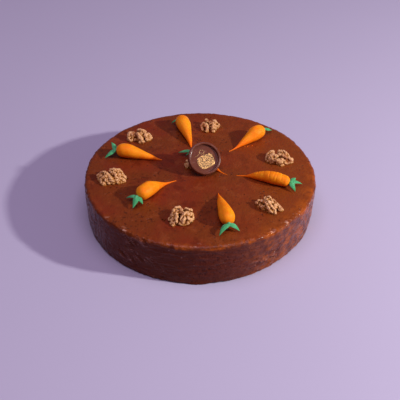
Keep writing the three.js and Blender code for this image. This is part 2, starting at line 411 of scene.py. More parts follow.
class Effects:
    """The shared effects, each a node group that gives one mask or height over the surface."""

    def __init__(self) -> None:
        """Builds each group once."""
        self.mottle = self._mottle()
        self.specks = self._specks()
        self.grain = self._grain()

    @staticmethod
    def _start(name: str, values: dict[str, float], result: str) -> tuple[Shading, dict[str, object]]:
        """Starts a group with a vector input, number inputs and one number output.

        Args:
            name: The group's name.
            values: Each number input's name and usual value.
            result: The output's name.

        Returns:
            The group's shading helper, and its inputs by name.
        """
        tree = bpy.data.node_groups.new(name, "ShaderNodeTree")
        tree.interface.new_socket("Vector", in_out="INPUT", socket_type="NodeSocketVector")
        for label, value in values.items():
            socket = tree.interface.new_socket(label, in_out="INPUT", socket_type="NodeSocketFloat")
            socket.default_value = value
        tree.interface.new_socket(result, in_out="OUTPUT", socket_type="NodeSocketFloat")
        shading = Shading(tree)
        start = shading.node("NodeGroupInput")
        return shading, {socket.name: socket for socket in start.outputs if socket.name}

    @staticmethod
    def _end(shading: Shading, result: bpy.types.NodeSocket) -> bpy.types.NodeTree:
        """Ends a group.

        Args:
            shading: The group's shading helper.
            result: The output that the group puts out.

        Returns:
            The group.
        """
        end = shading.node("NodeGroupOutput")
        shading.tree.links.new(result, end.inputs[0])
        return shading.tree

    def _mottle(self) -> bpy.types.NodeTree:
        """Soft uneven clouds: 0 and 1 with a blurred edge between them."""
        usual = {"Scale": 40.0, "Detail": 2.0, "Low": 0.4, "High": 0.6}
        shading, given = self._start("Mottle", usual, "Mask")
        inputs = {name: given[name] for name in ("Vector", "Scale", "Detail")}
        clouds = shading.node("ShaderNodeTexNoise", inputs)
        mask = shading.ranged(clouds.outputs["Fac"], given["Low"], given["High"], (0.0, 1.0))
        return self._end(shading, mask)

    def _specks(self) -> bpy.types.NodeTree:
        """Small round specks, only in some of their cells."""
        shading, given = self._start("Specks", {"Scale": 300.0, "Size": 0.25, "Share": 0.3}, "Mask")
        cells = shading.node("ShaderNodeTexVoronoi", {"Vector": given["Vector"], "Scale": given["Scale"]})
        inner = shading.times(given["Size"], 0.4)
        round_spot = shading.ranged(cells.outputs["Distance"], given["Size"], inner, (0.0, 1.0))
        lot = shading.node("ShaderNodeSeparateColor", {"Color": cells.outputs["Color"]}).outputs["Red"]
        chosen = shading.sum("LESS_THAN", lot, given["Share"])
        return self._end(shading, shading.times(round_spot, chosen))

    def _grain(self) -> bpy.types.NodeTree:
        """An uneven height of two sizes of noise."""
        shading, given = self._start("Grain", {"Coarse": 200.0, "Fine": 900.0, "Balance": 0.35}, "Height")
        node = shading.node("ShaderNodeMix", data_type="FLOAT")
        shading.feed(node.inputs[0], given["Balance"])
        for index, fineness in ((2, "Coarse"), (3, "Fine")):
            inputs = {"Vector": given["Vector"], "Scale": given[fineness], "Detail": 2.0}
            shading.feed(node.inputs[index], shading.node("ShaderNodeTexNoise", inputs).outputs["Fac"])
        return self._end(shading, node.outputs[0])


@dataclass(frozen=True)
class Mottle:
    """One use of the mottle: its fineness and detail, and the noise where it starts and is full."""

    scale: float
    detail: float
    low: float
    high: float


@dataclass(frozen=True)
class Specks:
    """One use of the specks: the fineness of their cells, a speck's size, and the share of cells with one."""

    scale: float
    size: float
    share: float


@dataclass(frozen=True)
class Grain:
    """One use of the grain: its two finenesses and their balance."""

    coarse: float
    fine: float
    balance: float


class Coat(Shading):
    """A material under way: its Principled shader, and the shared effects on the piece's own coordinates."""

    def __init__(self, name: str, effects: Effects | None = None) -> None:
        """Starts the material.

        Args:
            name: Its name.
            effects: The shared effects, if it has any.
        """
        self.material = bpy.data.materials.new(name)
        self.material.use_nodes = True
        super().__init__(self.material.node_tree)
        self.shader = self.tree.nodes["Principled BSDF"]
        self.effects = effects
        self.spot = self.place()

    def mottle(self, use: Mottle, spot: bpy.types.NodeSocket | None = None) -> bpy.types.NodeSocket:
        """The mask of soft clouds.

        Args:
            use: Their fineness and edges.
            spot: The coordinates that they follow, if not the piece's own.

        Returns:
            The mask's output.
        """
        values = {"Scale": use.scale, "Detail": use.detail, "Low": use.low, "High": use.high}
        return self.group(self.effects.mottle, {"Vector": self.spot if spot is None else spot, **values})

    def specks(self, use: Specks) -> bpy.types.NodeSocket:
        """The mask of small round specks."""
        values = {"Scale": use.scale, "Size": use.size, "Share": use.share}
        return self.group(self.effects.specks, {"Vector": self.spot, **values})

    def grain(self, use: Grain) -> bpy.types.NodeSocket:
        """The height of a grain, from 0 to 1."""
        values = {"Coarse": use.coarse, "Fine": use.fine, "Balance": use.balance}
        return self.group(self.effects.grain, {"Vector": self.spot, **values})

    def relief(self, height: bpy.types.NodeSocket, depth: float) -> bpy.types.NodeSocket:
        """The normal that a height gives.

        Args:
            height: The output with heights from 0 to 1.
            depth: How deep 1 is, in millimetres.

        Returns:
            The normal's output.
        """
        inputs = {"Height": height, "Distance": depth * MM, "Strength": 1.0}
        return self.node("ShaderNodeBump", inputs).outputs["Normal"]

    def dress(self, look: dict[str, object]) -> bpy.types.Material:
        """Feeds the shader.

        Args:
            look: What each named input of the shader is fed.

        Returns:
            The finished material.
        """
        for name, value in look.items():
            self.feed(self.shader.inputs[name], value)
        return self.material


@dataclass(frozen=True)
class GlazeFinish:
    """Set glaze: glossy brown with soft redder and browner fields and dark specks, an orange edge that is
    partly its own colour and mostly painted glow, and painted light, highlights, sparkles and reflections.
    """

    red: Colour = (0.190, 0.0265, 0.0075)
    brown: Colour = (0.172, 0.0330, 0.0065)
    pale: Colour = (0.250, 0.0540, 0.0130)
    stain: Colour = (0.105, 0.0130, 0.0040)
    speck: Colour = (0.045, 0.0065, 0.0030)
    side: Colour = (0.090, 0.0150, 0.0045)
    # painted reflection: the lilac floor seen in the wall's glossy streaks
    painted_streak_reflection: Colour = (0.200, 0.0580, 0.0400)
    # painted highlight on the wall's crests and along the rim's top edge
    crest: Colour = (0.300, 0.1300, 0.1050)
    # painted light: the lighter, warmer colour towards the key light on the right
    painted_light: Colour = (0.240, 0.0540, 0.0090)
    # painted light: the wall's colour where the key light falls
    side_lit: Colour = (0.122, 0.0330, 0.0240)
    # partly the edge's own oranger colour, mostly a painted glow of light through it
    rim: Colour = (0.370, 0.0800, 0.0090)
    # painted glow: light shining through the glaze under the rim and at the foot
    painted_glow: Colour = (0.420, 0.0800, 0.0050)
    # painted highlight: glints along the rim's top edge
    glint: Colour = (0.800, 0.5000, 0.3800)
    field_mottle: Mottle = Mottle(24, 1.5, 0.38, 0.62)
    pale_mottle: Mottle = Mottle(90, 3, 0.48, 0.76)
    stain_mottle: Mottle = Mottle(75, 2, 0.56, 0.68)
    streak_mottle: Mottle = Mottle(75, 4, 0.44, 0.74)
    speck_zones: Mottle = Mottle(26, 1, 0.46, 0.64)
    speck_blots: Mottle = Mottle(290, 3, 0.57, 0.67)
    rim_mottle: Mottle = Mottle(120, 3, 0.38, 0.6)
    glint_mottle: Mottle = Mottle(240, 3, 0.53, 0.64)
    dots: Specks = Specks(250, 0.25, 0.10)
    # painted highlight: scattered sparkles on the wall
    painted_sparkles: Specks = Specks(170, 0.2, 0.12)
    grain: Grain = Grain(190, 620, 0.4)
    squash: Point = (1.0, 1.0, 4.5)  # the streaks lie this much closer together than they are long
    gloss: Span = (0.18, 0.32)  # roughness
    shine: Span = (0.34, 0.14)  # specular level on the top and on the wall
    wet_shine: float = 0.22  # how much more a wet part of the wall has
    relief: float = 1.0

    def material(self, effects: Effects) -> bpy.types.Material:
        """Builds the material from the numbers that the mesh carries.

        Args:
            effects: The shared effects.

        Returns:
            The material.
        """
        coat = Coat("glaze", effects)
        rim, side, painted_glow, wet, crest, painted_light = (coat.attribute(name) for name in GLAZE_NUMBERS)
        clouds, stains, zones = (
            coat.mottle(use) for use in (self.pale_mottle, self.stain_mottle, self.speck_zones)
        )
        level = coat.node("ShaderNodeMapping", {"Vector": coat.spot, "Scale": self.squash}).outputs["Vector"]
        streaks = coat.mottle(self.streak_mottle, level)
        blots = coat.times(zones, 0.8, coat.mottle(self.speck_blots))
        specks = coat.sum("MAXIMUM", coat.specks(self.dots), blots)
        top = coat.tinted(
            coat.mixed(coat.mottle(self.field_mottle), self.red, self.brown),
            (coat.times(clouds, 0.6), self.pale),
            (coat.times(stains, 0.55), self.stain),
            # painted light: the top painted lighter and warmer towards the key light
            (coat.times(painted_light, 0.6), self.painted_light),
        )
        # painted reflection in the streaks, stronger where the wall is wetter
        streaked = coat.times(streaks, coat.ranged(wet, 0.0, 1.0, (0.35, 1.0)))
        # painted highlights: the crests and scattered sparkles
        lit = coat.sum("MAXIMUM", crest, coat.times(coat.specks(self.painted_sparkles), 0.7))
        wall = coat.tinted(
            # painted light: the wall painted lighter towards the key light
            coat.mixed(coat.times(painted_light, 0.85), self.side, self.side_lit),
            (coat.times(zones, 0.25), self.stain),
            # painted reflection in the streaks
            (coat.times(streaked, 0.85), self.painted_streak_reflection),
            # painted highlight on the wall
            (coat.times(lit, 0.75), self.crest),
        )
        on_top = coat.ranged(side, 0.0, 1.0, (1.0, 0.0))
        # painted glints along the rim's top edge
        glints = coat.times(crest, on_top, coat.mottle(self.glint_mottle), 0.8)
        colour = coat.tinted(
            coat.mixed(side, top, wall),
            # partly the edge's own orange, mostly painted glow through it
            (coat.times(rim, coat.mottle(self.rim_mottle)), self.rim),
            (glints, self.glint),
            # painted glow of light through the glaze
            (painted_glow, self.painted_glow),
            (coat.times(specks, 0.8), self.speck),
        )
        rough = coat.sum("SUBTRACT", coat.ranged(clouds, 0.0, 1.0, self.gloss), coat.times(rim, 0.08))
        shine = coat.ranged(side, 0.0, 1.0, self.shine)
        height = coat.sum("SUBTRACT", coat.grain(self.grain), coat.times(specks, 0.3))
        height = coat.sum("ADD", height, coat.times(streaks, side, 0.5))
        look = {
            "Base Color": colour,
            "Roughness": rough,
            "IOR": 1.38,
            "Specular IOR Level": coat.sum("ADD", shine, coat.times(wet, side, self.wet_shine)),
            "Subsurface Weight": 0.12,
            "Subsurface Radius": (1.0, 0.3, 0.08),
            "Subsurface Scale": 3 * MM,
            "Normal": coat.relief(height, self.relief),
        }
        return coat.dress(look)


@dataclass(frozen=True)
class SugarFinish:
    """Rolled sugar paste: satin, a little translucent, faintly uneven in colour, with painted shade low down.
    """

    name: str
    body: Colour
    deep: Colour
    pale: Colour
    low: Colour  # painted shade: its deeper colour low down where it meets the glaze, standing in for shade and for light bounced off the glaze
    painted_shade_from: float = 8.5  # height over the glaze where that colour starts, in millimetres
    painted_shade_to: float = 1.5  # height over the glaze where it is full
    roughness: Span = (0.52, 0.67)
    glow: Colour = (1.0, 0.35, 0.1)
    deep_mottle: Mottle = Mottle(110, 2, 0.35, 0.65)
    dust_mottle: Mottle = Mottle(420, 3, 0.52, 0.8)
    grain: Grain = Grain(260, 1400, 0.4)
    relief: float = 0.22

    def material(self, effects: Effects) -> bpy.types.Material:
        """Builds the material.

        Args:
            effects: The shared effects.

        Returns:
            The material.
        """
        coat = Coat(self.name, effects)
        dust = coat.mottle(self.dust_mottle)
        up = coat.node("ShaderNodeSeparateXYZ", {"Vector": coat.spot}).outputs["Z"]
        glaze_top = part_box("cake_body")[1].z
        low, high = glaze_top + self.painted_shade_to * MM, glaze_top + self.painted_shade_from * MM
        colour = coat.tinted(
            coat.mixed(coat.mottle(self.deep_mottle), self.body, self.deep),
            (coat.times(dust, 0.4), self.pale),
            # painted shade: deeper and redder low down
            (coat.ranged(up, low, high, (0.85, 0.0)), self.low),
        )
        look = {
            "Base Color": colour,
            "Roughness": coat.ranged(dust, 0.0, 1.0, self.roughness),
            "IOR": 1.42,
            "Specular IOR Level": 0.18,
            "Subsurface Weight": 0.3,
            "Subsurface Radius": self.glow,
            "Subsurface Scale": 2.5 * MM,
            "Normal": coat.relief(coat.grain(self.grain), self.relief),
        }
        return coat.dress(look)


@dataclass(frozen=True)
class WalnutFinish:
    """Walnut flesh under its fine skin: pale tan on the folds and reddish in patches; dark in the creases,
    partly its skin's own colour and partly painted shade, and painted shade low down.
    """

    ridge: Colour = (0.780, 0.430, 0.200)
    flesh: Colour = (0.430, 0.170, 0.0360)
    # partly the skin's own dark brown, partly painted shade in the hollows
    crease: Colour = (0.055, 0.0080, 0.0010)
    skin: Colour = (0.300, 0.080, 0.0220)
    skin_mottle: Mottle = Mottle(95, 2, 0.56, 0.7)
    vein_mottle: Mottle = Mottle(520, 4, 0.4, 0.7)
    grain: Grain = Grain(500, 1900, 0.4)
    relief: float = 0.3

    def material(self, effects: Effects) -> bpy.types.Material:
        """Builds the material from the mesh's fold number, 0 in a crease and 1 on a fold, which also carries
        painted shade in hollows and low down.

        Args:
            effects: The shared effects.

        Returns:
            The material.
        """
        coat = Coat("walnut", effects)
        fold = coat.attribute("fold")
        veins = coat.mottle(self.vein_mottle)
        colour = coat.tinted(
            # partly painted shade: darker in the creases and low down
            coat.mixed(coat.ranged(fold, 0.08, 0.42, (0.0, 1.0)), self.crease, self.flesh),
            (coat.ranged(fold, 0.52, 0.92, (0.0, 1.0)), self.ridge),
            (coat.times(veins, 0.35), self.flesh),
            (coat.times(coat.mottle(self.skin_mottle), 0.75), self.skin),
        )
        look = {
            "Base Color": colour,
            "Roughness": coat.ranged(veins, 0.0, 1.0, (0.34, 0.58)),
            "IOR": 1.42,
            "Specular IOR Level": coat.ranged(fold, 0.35, 0.85, (0.02, 0.42)),
            "Subsurface Weight": 0.05,
            "Subsurface Radius": (1.0, 0.5, 0.25),
            "Subsurface Scale": 1.5 * MM,
            "Normal": coat.relief(coat.grain(self.grain), self.relief),
        }
        return coat.dress(look)


@dataclass(frozen=True)
class ChocolateFinish:
    """Moulded chocolate: smooth, satin, with a faint pale bloom."""

    body: Colour = (0.135, 0.036, 0.019)
    bloom: Colour = (0.210, 0.068, 0.042)
    roughness: Span = (0.22, 0.36)
    bloom_mottle: Mottle = Mottle(150, 3, 0.45, 0.75)
    grain: Grain = Grain(300, 1500, 0.3)
    relief: float = 0.12

    def material(self, effects: Effects) -> bpy.types.Material:
        """Builds the material.

        Args:
            effects: The shared effects.

        Returns:
            The material.
        """
        coat = Coat("chocolate", effects)
        bloom = coat.mottle(self.bloom_mottle)
        look = {
            "Base Color": coat.mixed(coat.times(bloom, 0.6), self.body, self.bloom),
            "Roughness": coat.ranged(bloom, 0.0, 1.0, self.roughness),
            "IOR": 1.45,
            "Specular IOR Level": 0.42,
            "Normal": coat.relief(coat.grain(self.grain), self.relief),
        }
        return coat.dress(look)


@dataclass(frozen=True)
class GoldFinish:
    """Gold lustre dust brushed on chocolate: matt metal that thins out to brown."""

    gold: Colour = (0.74, 0.420, 0.150)
    bare: Colour = (0.070, 0.024, 0.006)
    flakes: Mottle = Mottle(950, 1, 0.47, 0.53)
    wear: Span = (0.75, 1.0)  # how bare a gap between flakes is, below and above
    metal: Span = (0.55, 0.0)
    roughness: Span = (0.42, 0.6)
    grain: Grain = Grain(900, 2600, 0.5)
    relief: float = 0.15

    def material(self, effects: Effects) -> bpy.types.Material:
        """Builds the material.

        Args:
            effects: The shared effects.

        Returns:
            The material.
        """
        coat = Coat("gold_dust", effects)
        wear = coat.ranged(coat.attribute("worn"), 0.0, 1.0, self.wear)
        worn = coat.times(coat.mottle(self.flakes), wear)
        look = {
            "Base Color": coat.mixed(worn, self.gold, self.bare),
            "Metallic": coat.ranged(worn, 0.0, 1.0, self.metal),
            "Roughness": coat.ranged(worn, 0.0, 1.0, self.roughness),
            "Normal": coat.relief(coat.grain(self.grain), self.relief),
        }
        return coat.dress(look)


# ---------------------------------------------------------------- the cake under its glaze


@dataclass(frozen=True)
class Stretch:
    """A stretch of the cake's side: its middle's azimuth and its reach to each side, in degrees."""

    middle: float
    reach: float

    def share(self, azimuth: float) -> float:
        """1 in the middle of the stretch and 0 well away from it."""
        return hump(turn_between(azimuth, self.middle), self.reach, 4)


@dataclass
class GlazedCake:
    """The round cake: its upright wall, the glaze's rounded edge and the smears that the spatula left."""

    finish: bpy.types.Material
    node: str = "cake_body"
    steps: int = 600
    edge_width: float = 4.6  # how far in from the side the top starts to round over
    edge_drop: float = 3.2
    edge_shape: float = 2.2  # 2 is an ellipse, more is squarer
    foot_radius: float = 1.2
    side_belly: float = 0.3
    foot_inset: float = 0.8
    outline_wave: float = 0.35
    dent_azimuth: float = -44.0  # hollow at the foot, front right
    dent_spread: float = 32.0
    dent_depth: float = 3.8
    top_rise: float = 0.35  # glaze drawn up above the level that the toppings rest on
    wall_rings: int = 58
    edge_rings: int = 24
    top_rings: int = 48
    level_strokes: Stretch = Stretch(-12, 42)
    upright_drags: Stretch = Stretch(-165, 24)
    crinkles: Stretch = Stretch(-57, 10)
    crinkle_height: float = 13.0
    scrape_azimuth: float = -122.0
    scrape_reach: float = 30.0  # in millimetres along the wall
    scrape_slant: float = -38.0
    sunny: Stretch = Stretch(-42, 62)  # where the rim's thinner glaze is lit through, painted as an orange glow
    glow: Stretch = Stretch(-30, 34)  # where the top's margin, thinner as well, gets that painted glow
    # painted highlight: where a broken line of glints runs along the rim's top edge
    sparkle: Stretch = Stretch(-82, 58)
    # painted glow: bounced light through the glaze at the foot
    thin_foot: Stretch = Stretch(-48, 24)
    foot_slip: Stretch = Stretch(-91, 4.5)
    wet_right: Stretch = Stretch(-8, 42)
    wet_left: Stretch = Stretch(-175, 28)
    painted_light_from: float = -30.0  # painted light: the glaze is painted lighter and warmer from here to the right, towards the key light
    painted_light_to: float = 105.0
    # Each nick: azimuth, width and depth of a notch in the glaze's rounded edge.
    nicks: tuple[Point, ...] = ((-53.5, 1.3, 1.7), (-68.5, 1.6, 0.8), (-61.0, 1.0, 0.7), (-100.0, 1.6, 0.5))
    # Each pit: azimuth, height over the foot, radius and depth of a hole in the wall's glaze.
    pits: tuple[tuple[float, float, float, float], ...] = (
        (-122.0, 9.0, 1.1, 1.3),
        (-114.5, 8.5, 0.9, 1.0),
        (-107.5, 5.0, 1.2, 1.2),
        (-99.0, 12.0, 0.8, 0.8),
        (-86.0, 20.0, 1.4, 0.7),
        (-58.5, 30.0, 2.6, 1.5),
        (-36.0, 16.0, 1.4, 0.9),
        (-25.0, 6.0, 2.4, 1.8),
        (-16.0, 24.0, 1.3, 0.9),
        (38.0, 18.0, 1.5, 1.0),
        (112.0, 26.0, 1.2, 0.9),
        (171.0, 12.0, 1.6, 1.0),
    )

    def measure(self) -> None:
        """Takes the cake's radius and height from the frame, in millimetres."""
        low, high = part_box(self.node)
        self.radius = (high.x - low.x + high.y - low.y) / 4 / MM
        self.height = (high.z - low.z) / MM + self.top_rise
        self.wall_top = self.height - self.edge_drop

    def profile(self) -> list[Span]:
        """The half section, from the middle of the underside round to the middle of the top."""
        radius, height, foot = self.radius, self.height, self.foot_radius
        under = [((radius - foot) * i / 6, 0.0) for i in range(7)]
        wall = []
        for i in range(self.wall_rings + 1):
            up = i / self.wall_rings
            out = self.side_belly * math.sin(math.pi * up)
            wall.append((radius + out, foot + up * (self.wall_top - foot)))
        edge = []
        for i in range(1, self.edge_rings + 1):
            turn = math.pi / 2 * i / self.edge_rings
            across = math.cos(turn) ** (2 / self.edge_shape) if i < self.edge_rings else 0.0
            up = math.sin(turn) ** (2 / self.edge_shape)
            edge.append((radius - self.edge_width * (1 - across), self.wall_top + self.edge_drop * up))
        flat = radius - self.edge_width
        top = [(flat * (1 - i / self.top_rings), height) for i in range(1, self.top_rings + 1)]
        return under + wall + edge + top

    def outline(self, azimuth: float) -> float:
        """How far the round outline wanders at an azimuth in degrees, in millimetres."""
        a = math.radians(azimuth)
        return self.outline_wave * (0.6 * math.cos(2 * a + 0.7) + 0.4 * math.cos(6 * a + 1.9))

    def lean(self, azimuth: float, up: float) -> float:
        """How far the wall leans in.

        Args:
            azimuth: Direction in degrees.
            up: Share of the height, 0 at the foot.

        Returns:
            The lean in millimetres.
        """
        hollow = self.dent_depth * hump(turn_between(azimuth, self.dent_azimuth), self.dent_spread)
        return (self.foot_inset + hollow) * max(0.0, 1 - up)

    def crinkled(self, azimuth: float, z: float) -> float:
        """Share of the crinkled patch at an azimuth in degrees and a height in millimetres."""
        return self.crinkles.share(azimuth) * hump(z - self.crinkle_height, 10, 4)

    def smears(self, azimuth: float, z: float) -> Span:
        """Relief of the wall: level strokes, slanted scrapes, a crinkled patch and small pits, and the
        painted highlight on their crests.

        Args:
            azimuth: Direction in degrees.
            z: Height over the underside in millimetres.

        Returns:
            How far the glaze stands out, in millimetres, and how much painted highlight its crest gets, 0 to
            1.
        """
        a = math.radians(azimuth)
        x, y = self.radius * math.cos(a), self.radius * math.sin(a)
        spot = (x, y, z)
        right, left = self.level_strokes.share(azimuth), self.upright_drags.share(azimuth)
        warped = (x, y, z + 2.2 * ripple(spot, (30, 30, 20), 4.0))
        strokes = ripple(warped, (15, 15, 3.4), 1.0)
        fine = ripple(warped, (5, 5, 1.6), 2.0)
        drags = ripple(spot, (2.4, 2.4, 17), 8.0)
        out = (0.28 + 0.12 * right) * strokes + (0.15 + 0.40 * right) * fine
        out += 0.30 * ripple(spot, (3.4, 3.4, 2.8), 6.0)
        out += 0.45 * ripple(spot, (26, 26, 24), 3.0) + 0.20 * ripple(spot, (9, 9, 8), 9.0)
        out += 0.7 * left * drags
        along = self.radius * math.radians(turn_between(azimuth, self.scrape_azimuth))
        slant = math.radians(self.scrape_slant)
        run = along * math.cos(slant) + z * math.sin(slant)
        rise = z * math.cos(slant) - along * math.sin(slant)
        patchy = smoothstep(-0.15, 0.3, ripple(spot, (17, 17, 12), 7.0))
        scraped = hump(along, self.scrape_reach, 4) * patchy
        scrape = abs(ripple((run, rise, 0.0), (14, 3.2, 1), 5.0))
        out += 1.5 * scraped * (0.5 - 2 * scrape)
        # painted highlight on the crests of the scrapes, strokes and drags
        crest = max(
            scraped * smoothstep(0.09, 0.01, scrape),
            0.6 * right * smoothstep(0.3, 0.7, strokes + 0.6 * fine),
            0.8 * left * smoothstep(0.1, 0.5, drags),
        )
        crinkled = self.crinkled(azimuth, z)
        crinkles = noise.turbulence(Vector((x / 4.5, y / 4.5, z / 3.2)), 3, False)
        out += 1.3 * crinkled * crinkles
        # painted highlight on the crinkles too
        crest = max(crest, crinkled * smoothstep(0.25, 0.6, crinkles))
        for at, height, radius, depth in self.pits:
            away = math.hypot(self.radius * math.radians(turn_between(azimuth, at)), z - height)
            out -= depth * hump(away, radius)
        return out, crest

    def nicked(self, azimuth: float) -> float:
        """Depth of the notches in the rounded edge.

        Args:
            azimuth: Direction in degrees.

        Returns:
            The depth in millimetres.
        """
        return sum(
            depth * hump(self.radius * math.radians(turn_between(azimuth, at)), width)
            for at, width, depth in self.nicks
        )

    def shape(self) -> bmesh.types.BMesh:
        """Turns the section, lets it wander and gives it its relief and the numbers its finish reads, among
        them where light, glow and highlights are painted.
        """
        shape = turned(self.profile(), self.steps)
        layers = {name: shape.verts.layers.float.new(name) for name in GLAZE_NUMBERS}
        radius, wall_top = self.radius, self.wall_top
        for vertex in shape.verts:
            x, y, z = (value / MM for value in vertex.co)
            reach = math.hypot(x, y)
            azimuth = math.degrees(math.atan2(y, x))
            turn = math.radians(azimuth)
            side_x, side_y = radius * math.cos(turn), radius * math.sin(turn)
            level, raised = (side_x, side_y, 0.0), (side_x, side_y, 0.3)
            sunny = self.sunny.share(azimuth)
            outer = smoothstep(radius - self.edge_width - 3, radius - 2, reach)
            on_rim = outer * smoothstep(wall_top - 2.5, wall_top + 1.5, z)
            ragged = z + 0.8 * ripple(raised, (7, 7, 1), 21.0) + 0.4 * ripple(raised, (2, 2, 1), 22.0)
            on_side = smoothstep(radius - 3.6, radius - 1.8, reach)
            on_side *= smoothstep(wall_top + 2.9, wall_top + 1.7, ragged)
            low = smoothstep(3.2, 0.4, z) * smoothstep(radius - 5, radius - 2, reach)
            wave = ripple(raised, (13, 13, 1), 11.0) + 0.6 * ripple(raised, (4, 4, 1), 12.0)
            wave += (0.5 + 1.0 * sunny) * ripple((side_x, side_y, z), (2.1, 2.1, 3), 19.0)
            nick = self.nicked(azimuth)
            stands, crest = self.smears(azimuth, z) if on_side > 0 else (0.0, 0.0)
            out = self.outline(azimuth) - self.lean(azimuth, z / self.height)
            out += on_side * stands
            out += on_rim * on_side * 0.4 * wave - on_rim * 0.6 * nick
            out += low * (0.5 * ripple(level, 8, 13.0) + 0.3 * ripple(level, 3, 14.0))
            out += 1.6 * low * smoothstep(1.5, 0.9, z) * self.foot_slip.share(azimuth)
            rise = 0.0
            if z > wall_top:
                rise = 0.22 * ripple((x, y, 0.0), 38, 15.0) + 0.07 * ripple((x, y, 0.0), 11, 16.0)
                rise += on_rim * (0.42 * wave - nick)
            grow = (reach + out * min(1.0, reach / (radius - self.edge_width))) / reach if reach else 1.0
            vertex.co = Vector((x * grow, y * grow, z + rise)) * MM
            patchy = smoothstep(-0.45, 0.25, ripple(level, 10, 24.0))
            # painted glow in the top's margin on the lit side
            glow = 0.8 * smoothstep(radius - 17, radius - 5, reach) * self.glow.share(azimuth)
            # painted highlight: a broken line along the top of the rounded edge
            line = hump(z - (wall_top + 2.7), 0.7) * smoothstep(0.0, 0.35, ripple(level, 9, 23.0))
            line *= outer * self.sparkle.share(azimuth)
            # painted glow: light through the glaze just under the rim, on the front and right
            under_rim = hump(z - (wall_top + 0.6), 1.0) * outer
            under_rim *= smoothstep(-112, -98, -abs(azimuth + 20) - 20)
            # painted glow: bounced light through the glaze at the foot
            foot_patch = low * self.thin_foot.share(azimuth) * smoothstep(-0.3, 0.3, ripple(level, 6, 17.0))
            # painted glow under the rim, strongest on the lit side
            rim_patch = (0.05 + 0.65 * sunny) * under_rim * smoothstep(-0.3, 0.2, ripple(level, 12, 18.0))
            wet_patch = 0.7 * self.crinkled(azimuth, z)
            numbers = {
                # a little oranger all round, and a painted glow on the lit side
                "rim": max(on_rim * (0.15 + 0.85 * sunny), glow) * (0.3 + 0.7 * patchy),
                "side": on_side,
                # painted highlights on the wall's crests and along the rim's top edge
                "crest": max(crest * on_side, line * (1 - on_side)),
                # painted light: lighter towards the key light on the right
                "painted_light": smoothstep(self.painted_light_from, self.painted_light_to, x),
                "wet": max(self.wet_right.share(azimuth), self.wet_left.share(azimuth), wet_patch),
                # painted glow of light through the glaze
                "painted_glow": max(0.75 * foot_patch, rim_patch),
            }
            for name, value in numbers.items():
                vertex[layers[name]] = value
        bmesh.ops.recalc_face_normals(shape, faces=shape.faces)
        return shape

    def build(self) -> None:
        """Adds the piece."""
        self.measure()
        add_piece("glazed_cake", self.shape(), self.finish, (self.node,))


# ---------------------------------------------------------------- sugar-paste carrots


@dataclass
class Lie:
    """How a carrot lies: its root tip, the way its crown points, its length and its greatest radius."""

    tip: Vector
    heading: float
    length: float
    radius: float

    @classmethod
    def from_frame(cls, carrot: str, leaves: str) -> "Lie":
        """Measures a carrot's CAD node.

        Args:
            carrot: The carrot's node.
            leaves: The node of its leaves, which are at its crown.

        Returns:
            Where it lies, in millimetres, with the tip at the level that it rests on.
        """
        low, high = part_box(leaves)
        middle = (low + high) / 2
        points = [vertex.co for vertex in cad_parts[carrot].data.vertices]
        tip = max(points, key=lambda point: (point - middle).length)
        crown = max(points, key=lambda point: (point - tip).length)
        along = (crown - tip).to_2d()
        base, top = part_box(carrot)
        return cls(
            tip=Vector((tip.x, tip.y, base.z)) / MM,
            heading=math.atan2(along.y, along.x),
            length=along.length / MM,
            radius=(top.z - base.z) / 2 / MM,
        )

    def matrix(self) -> Matrix:
        """Puts a shape made along +X from the origin, in metres, in its place on the cake."""
        return Matrix.Translation(self.tip * MM) @ Matrix.Rotation(self.heading, 4, "Z")


@dataclass
class Leaf:
    """One leaf: its turn from the carrot's direction, its length, width and the height of its tip."""

    turn: float
    length: float
    width: float
    tip_height: float


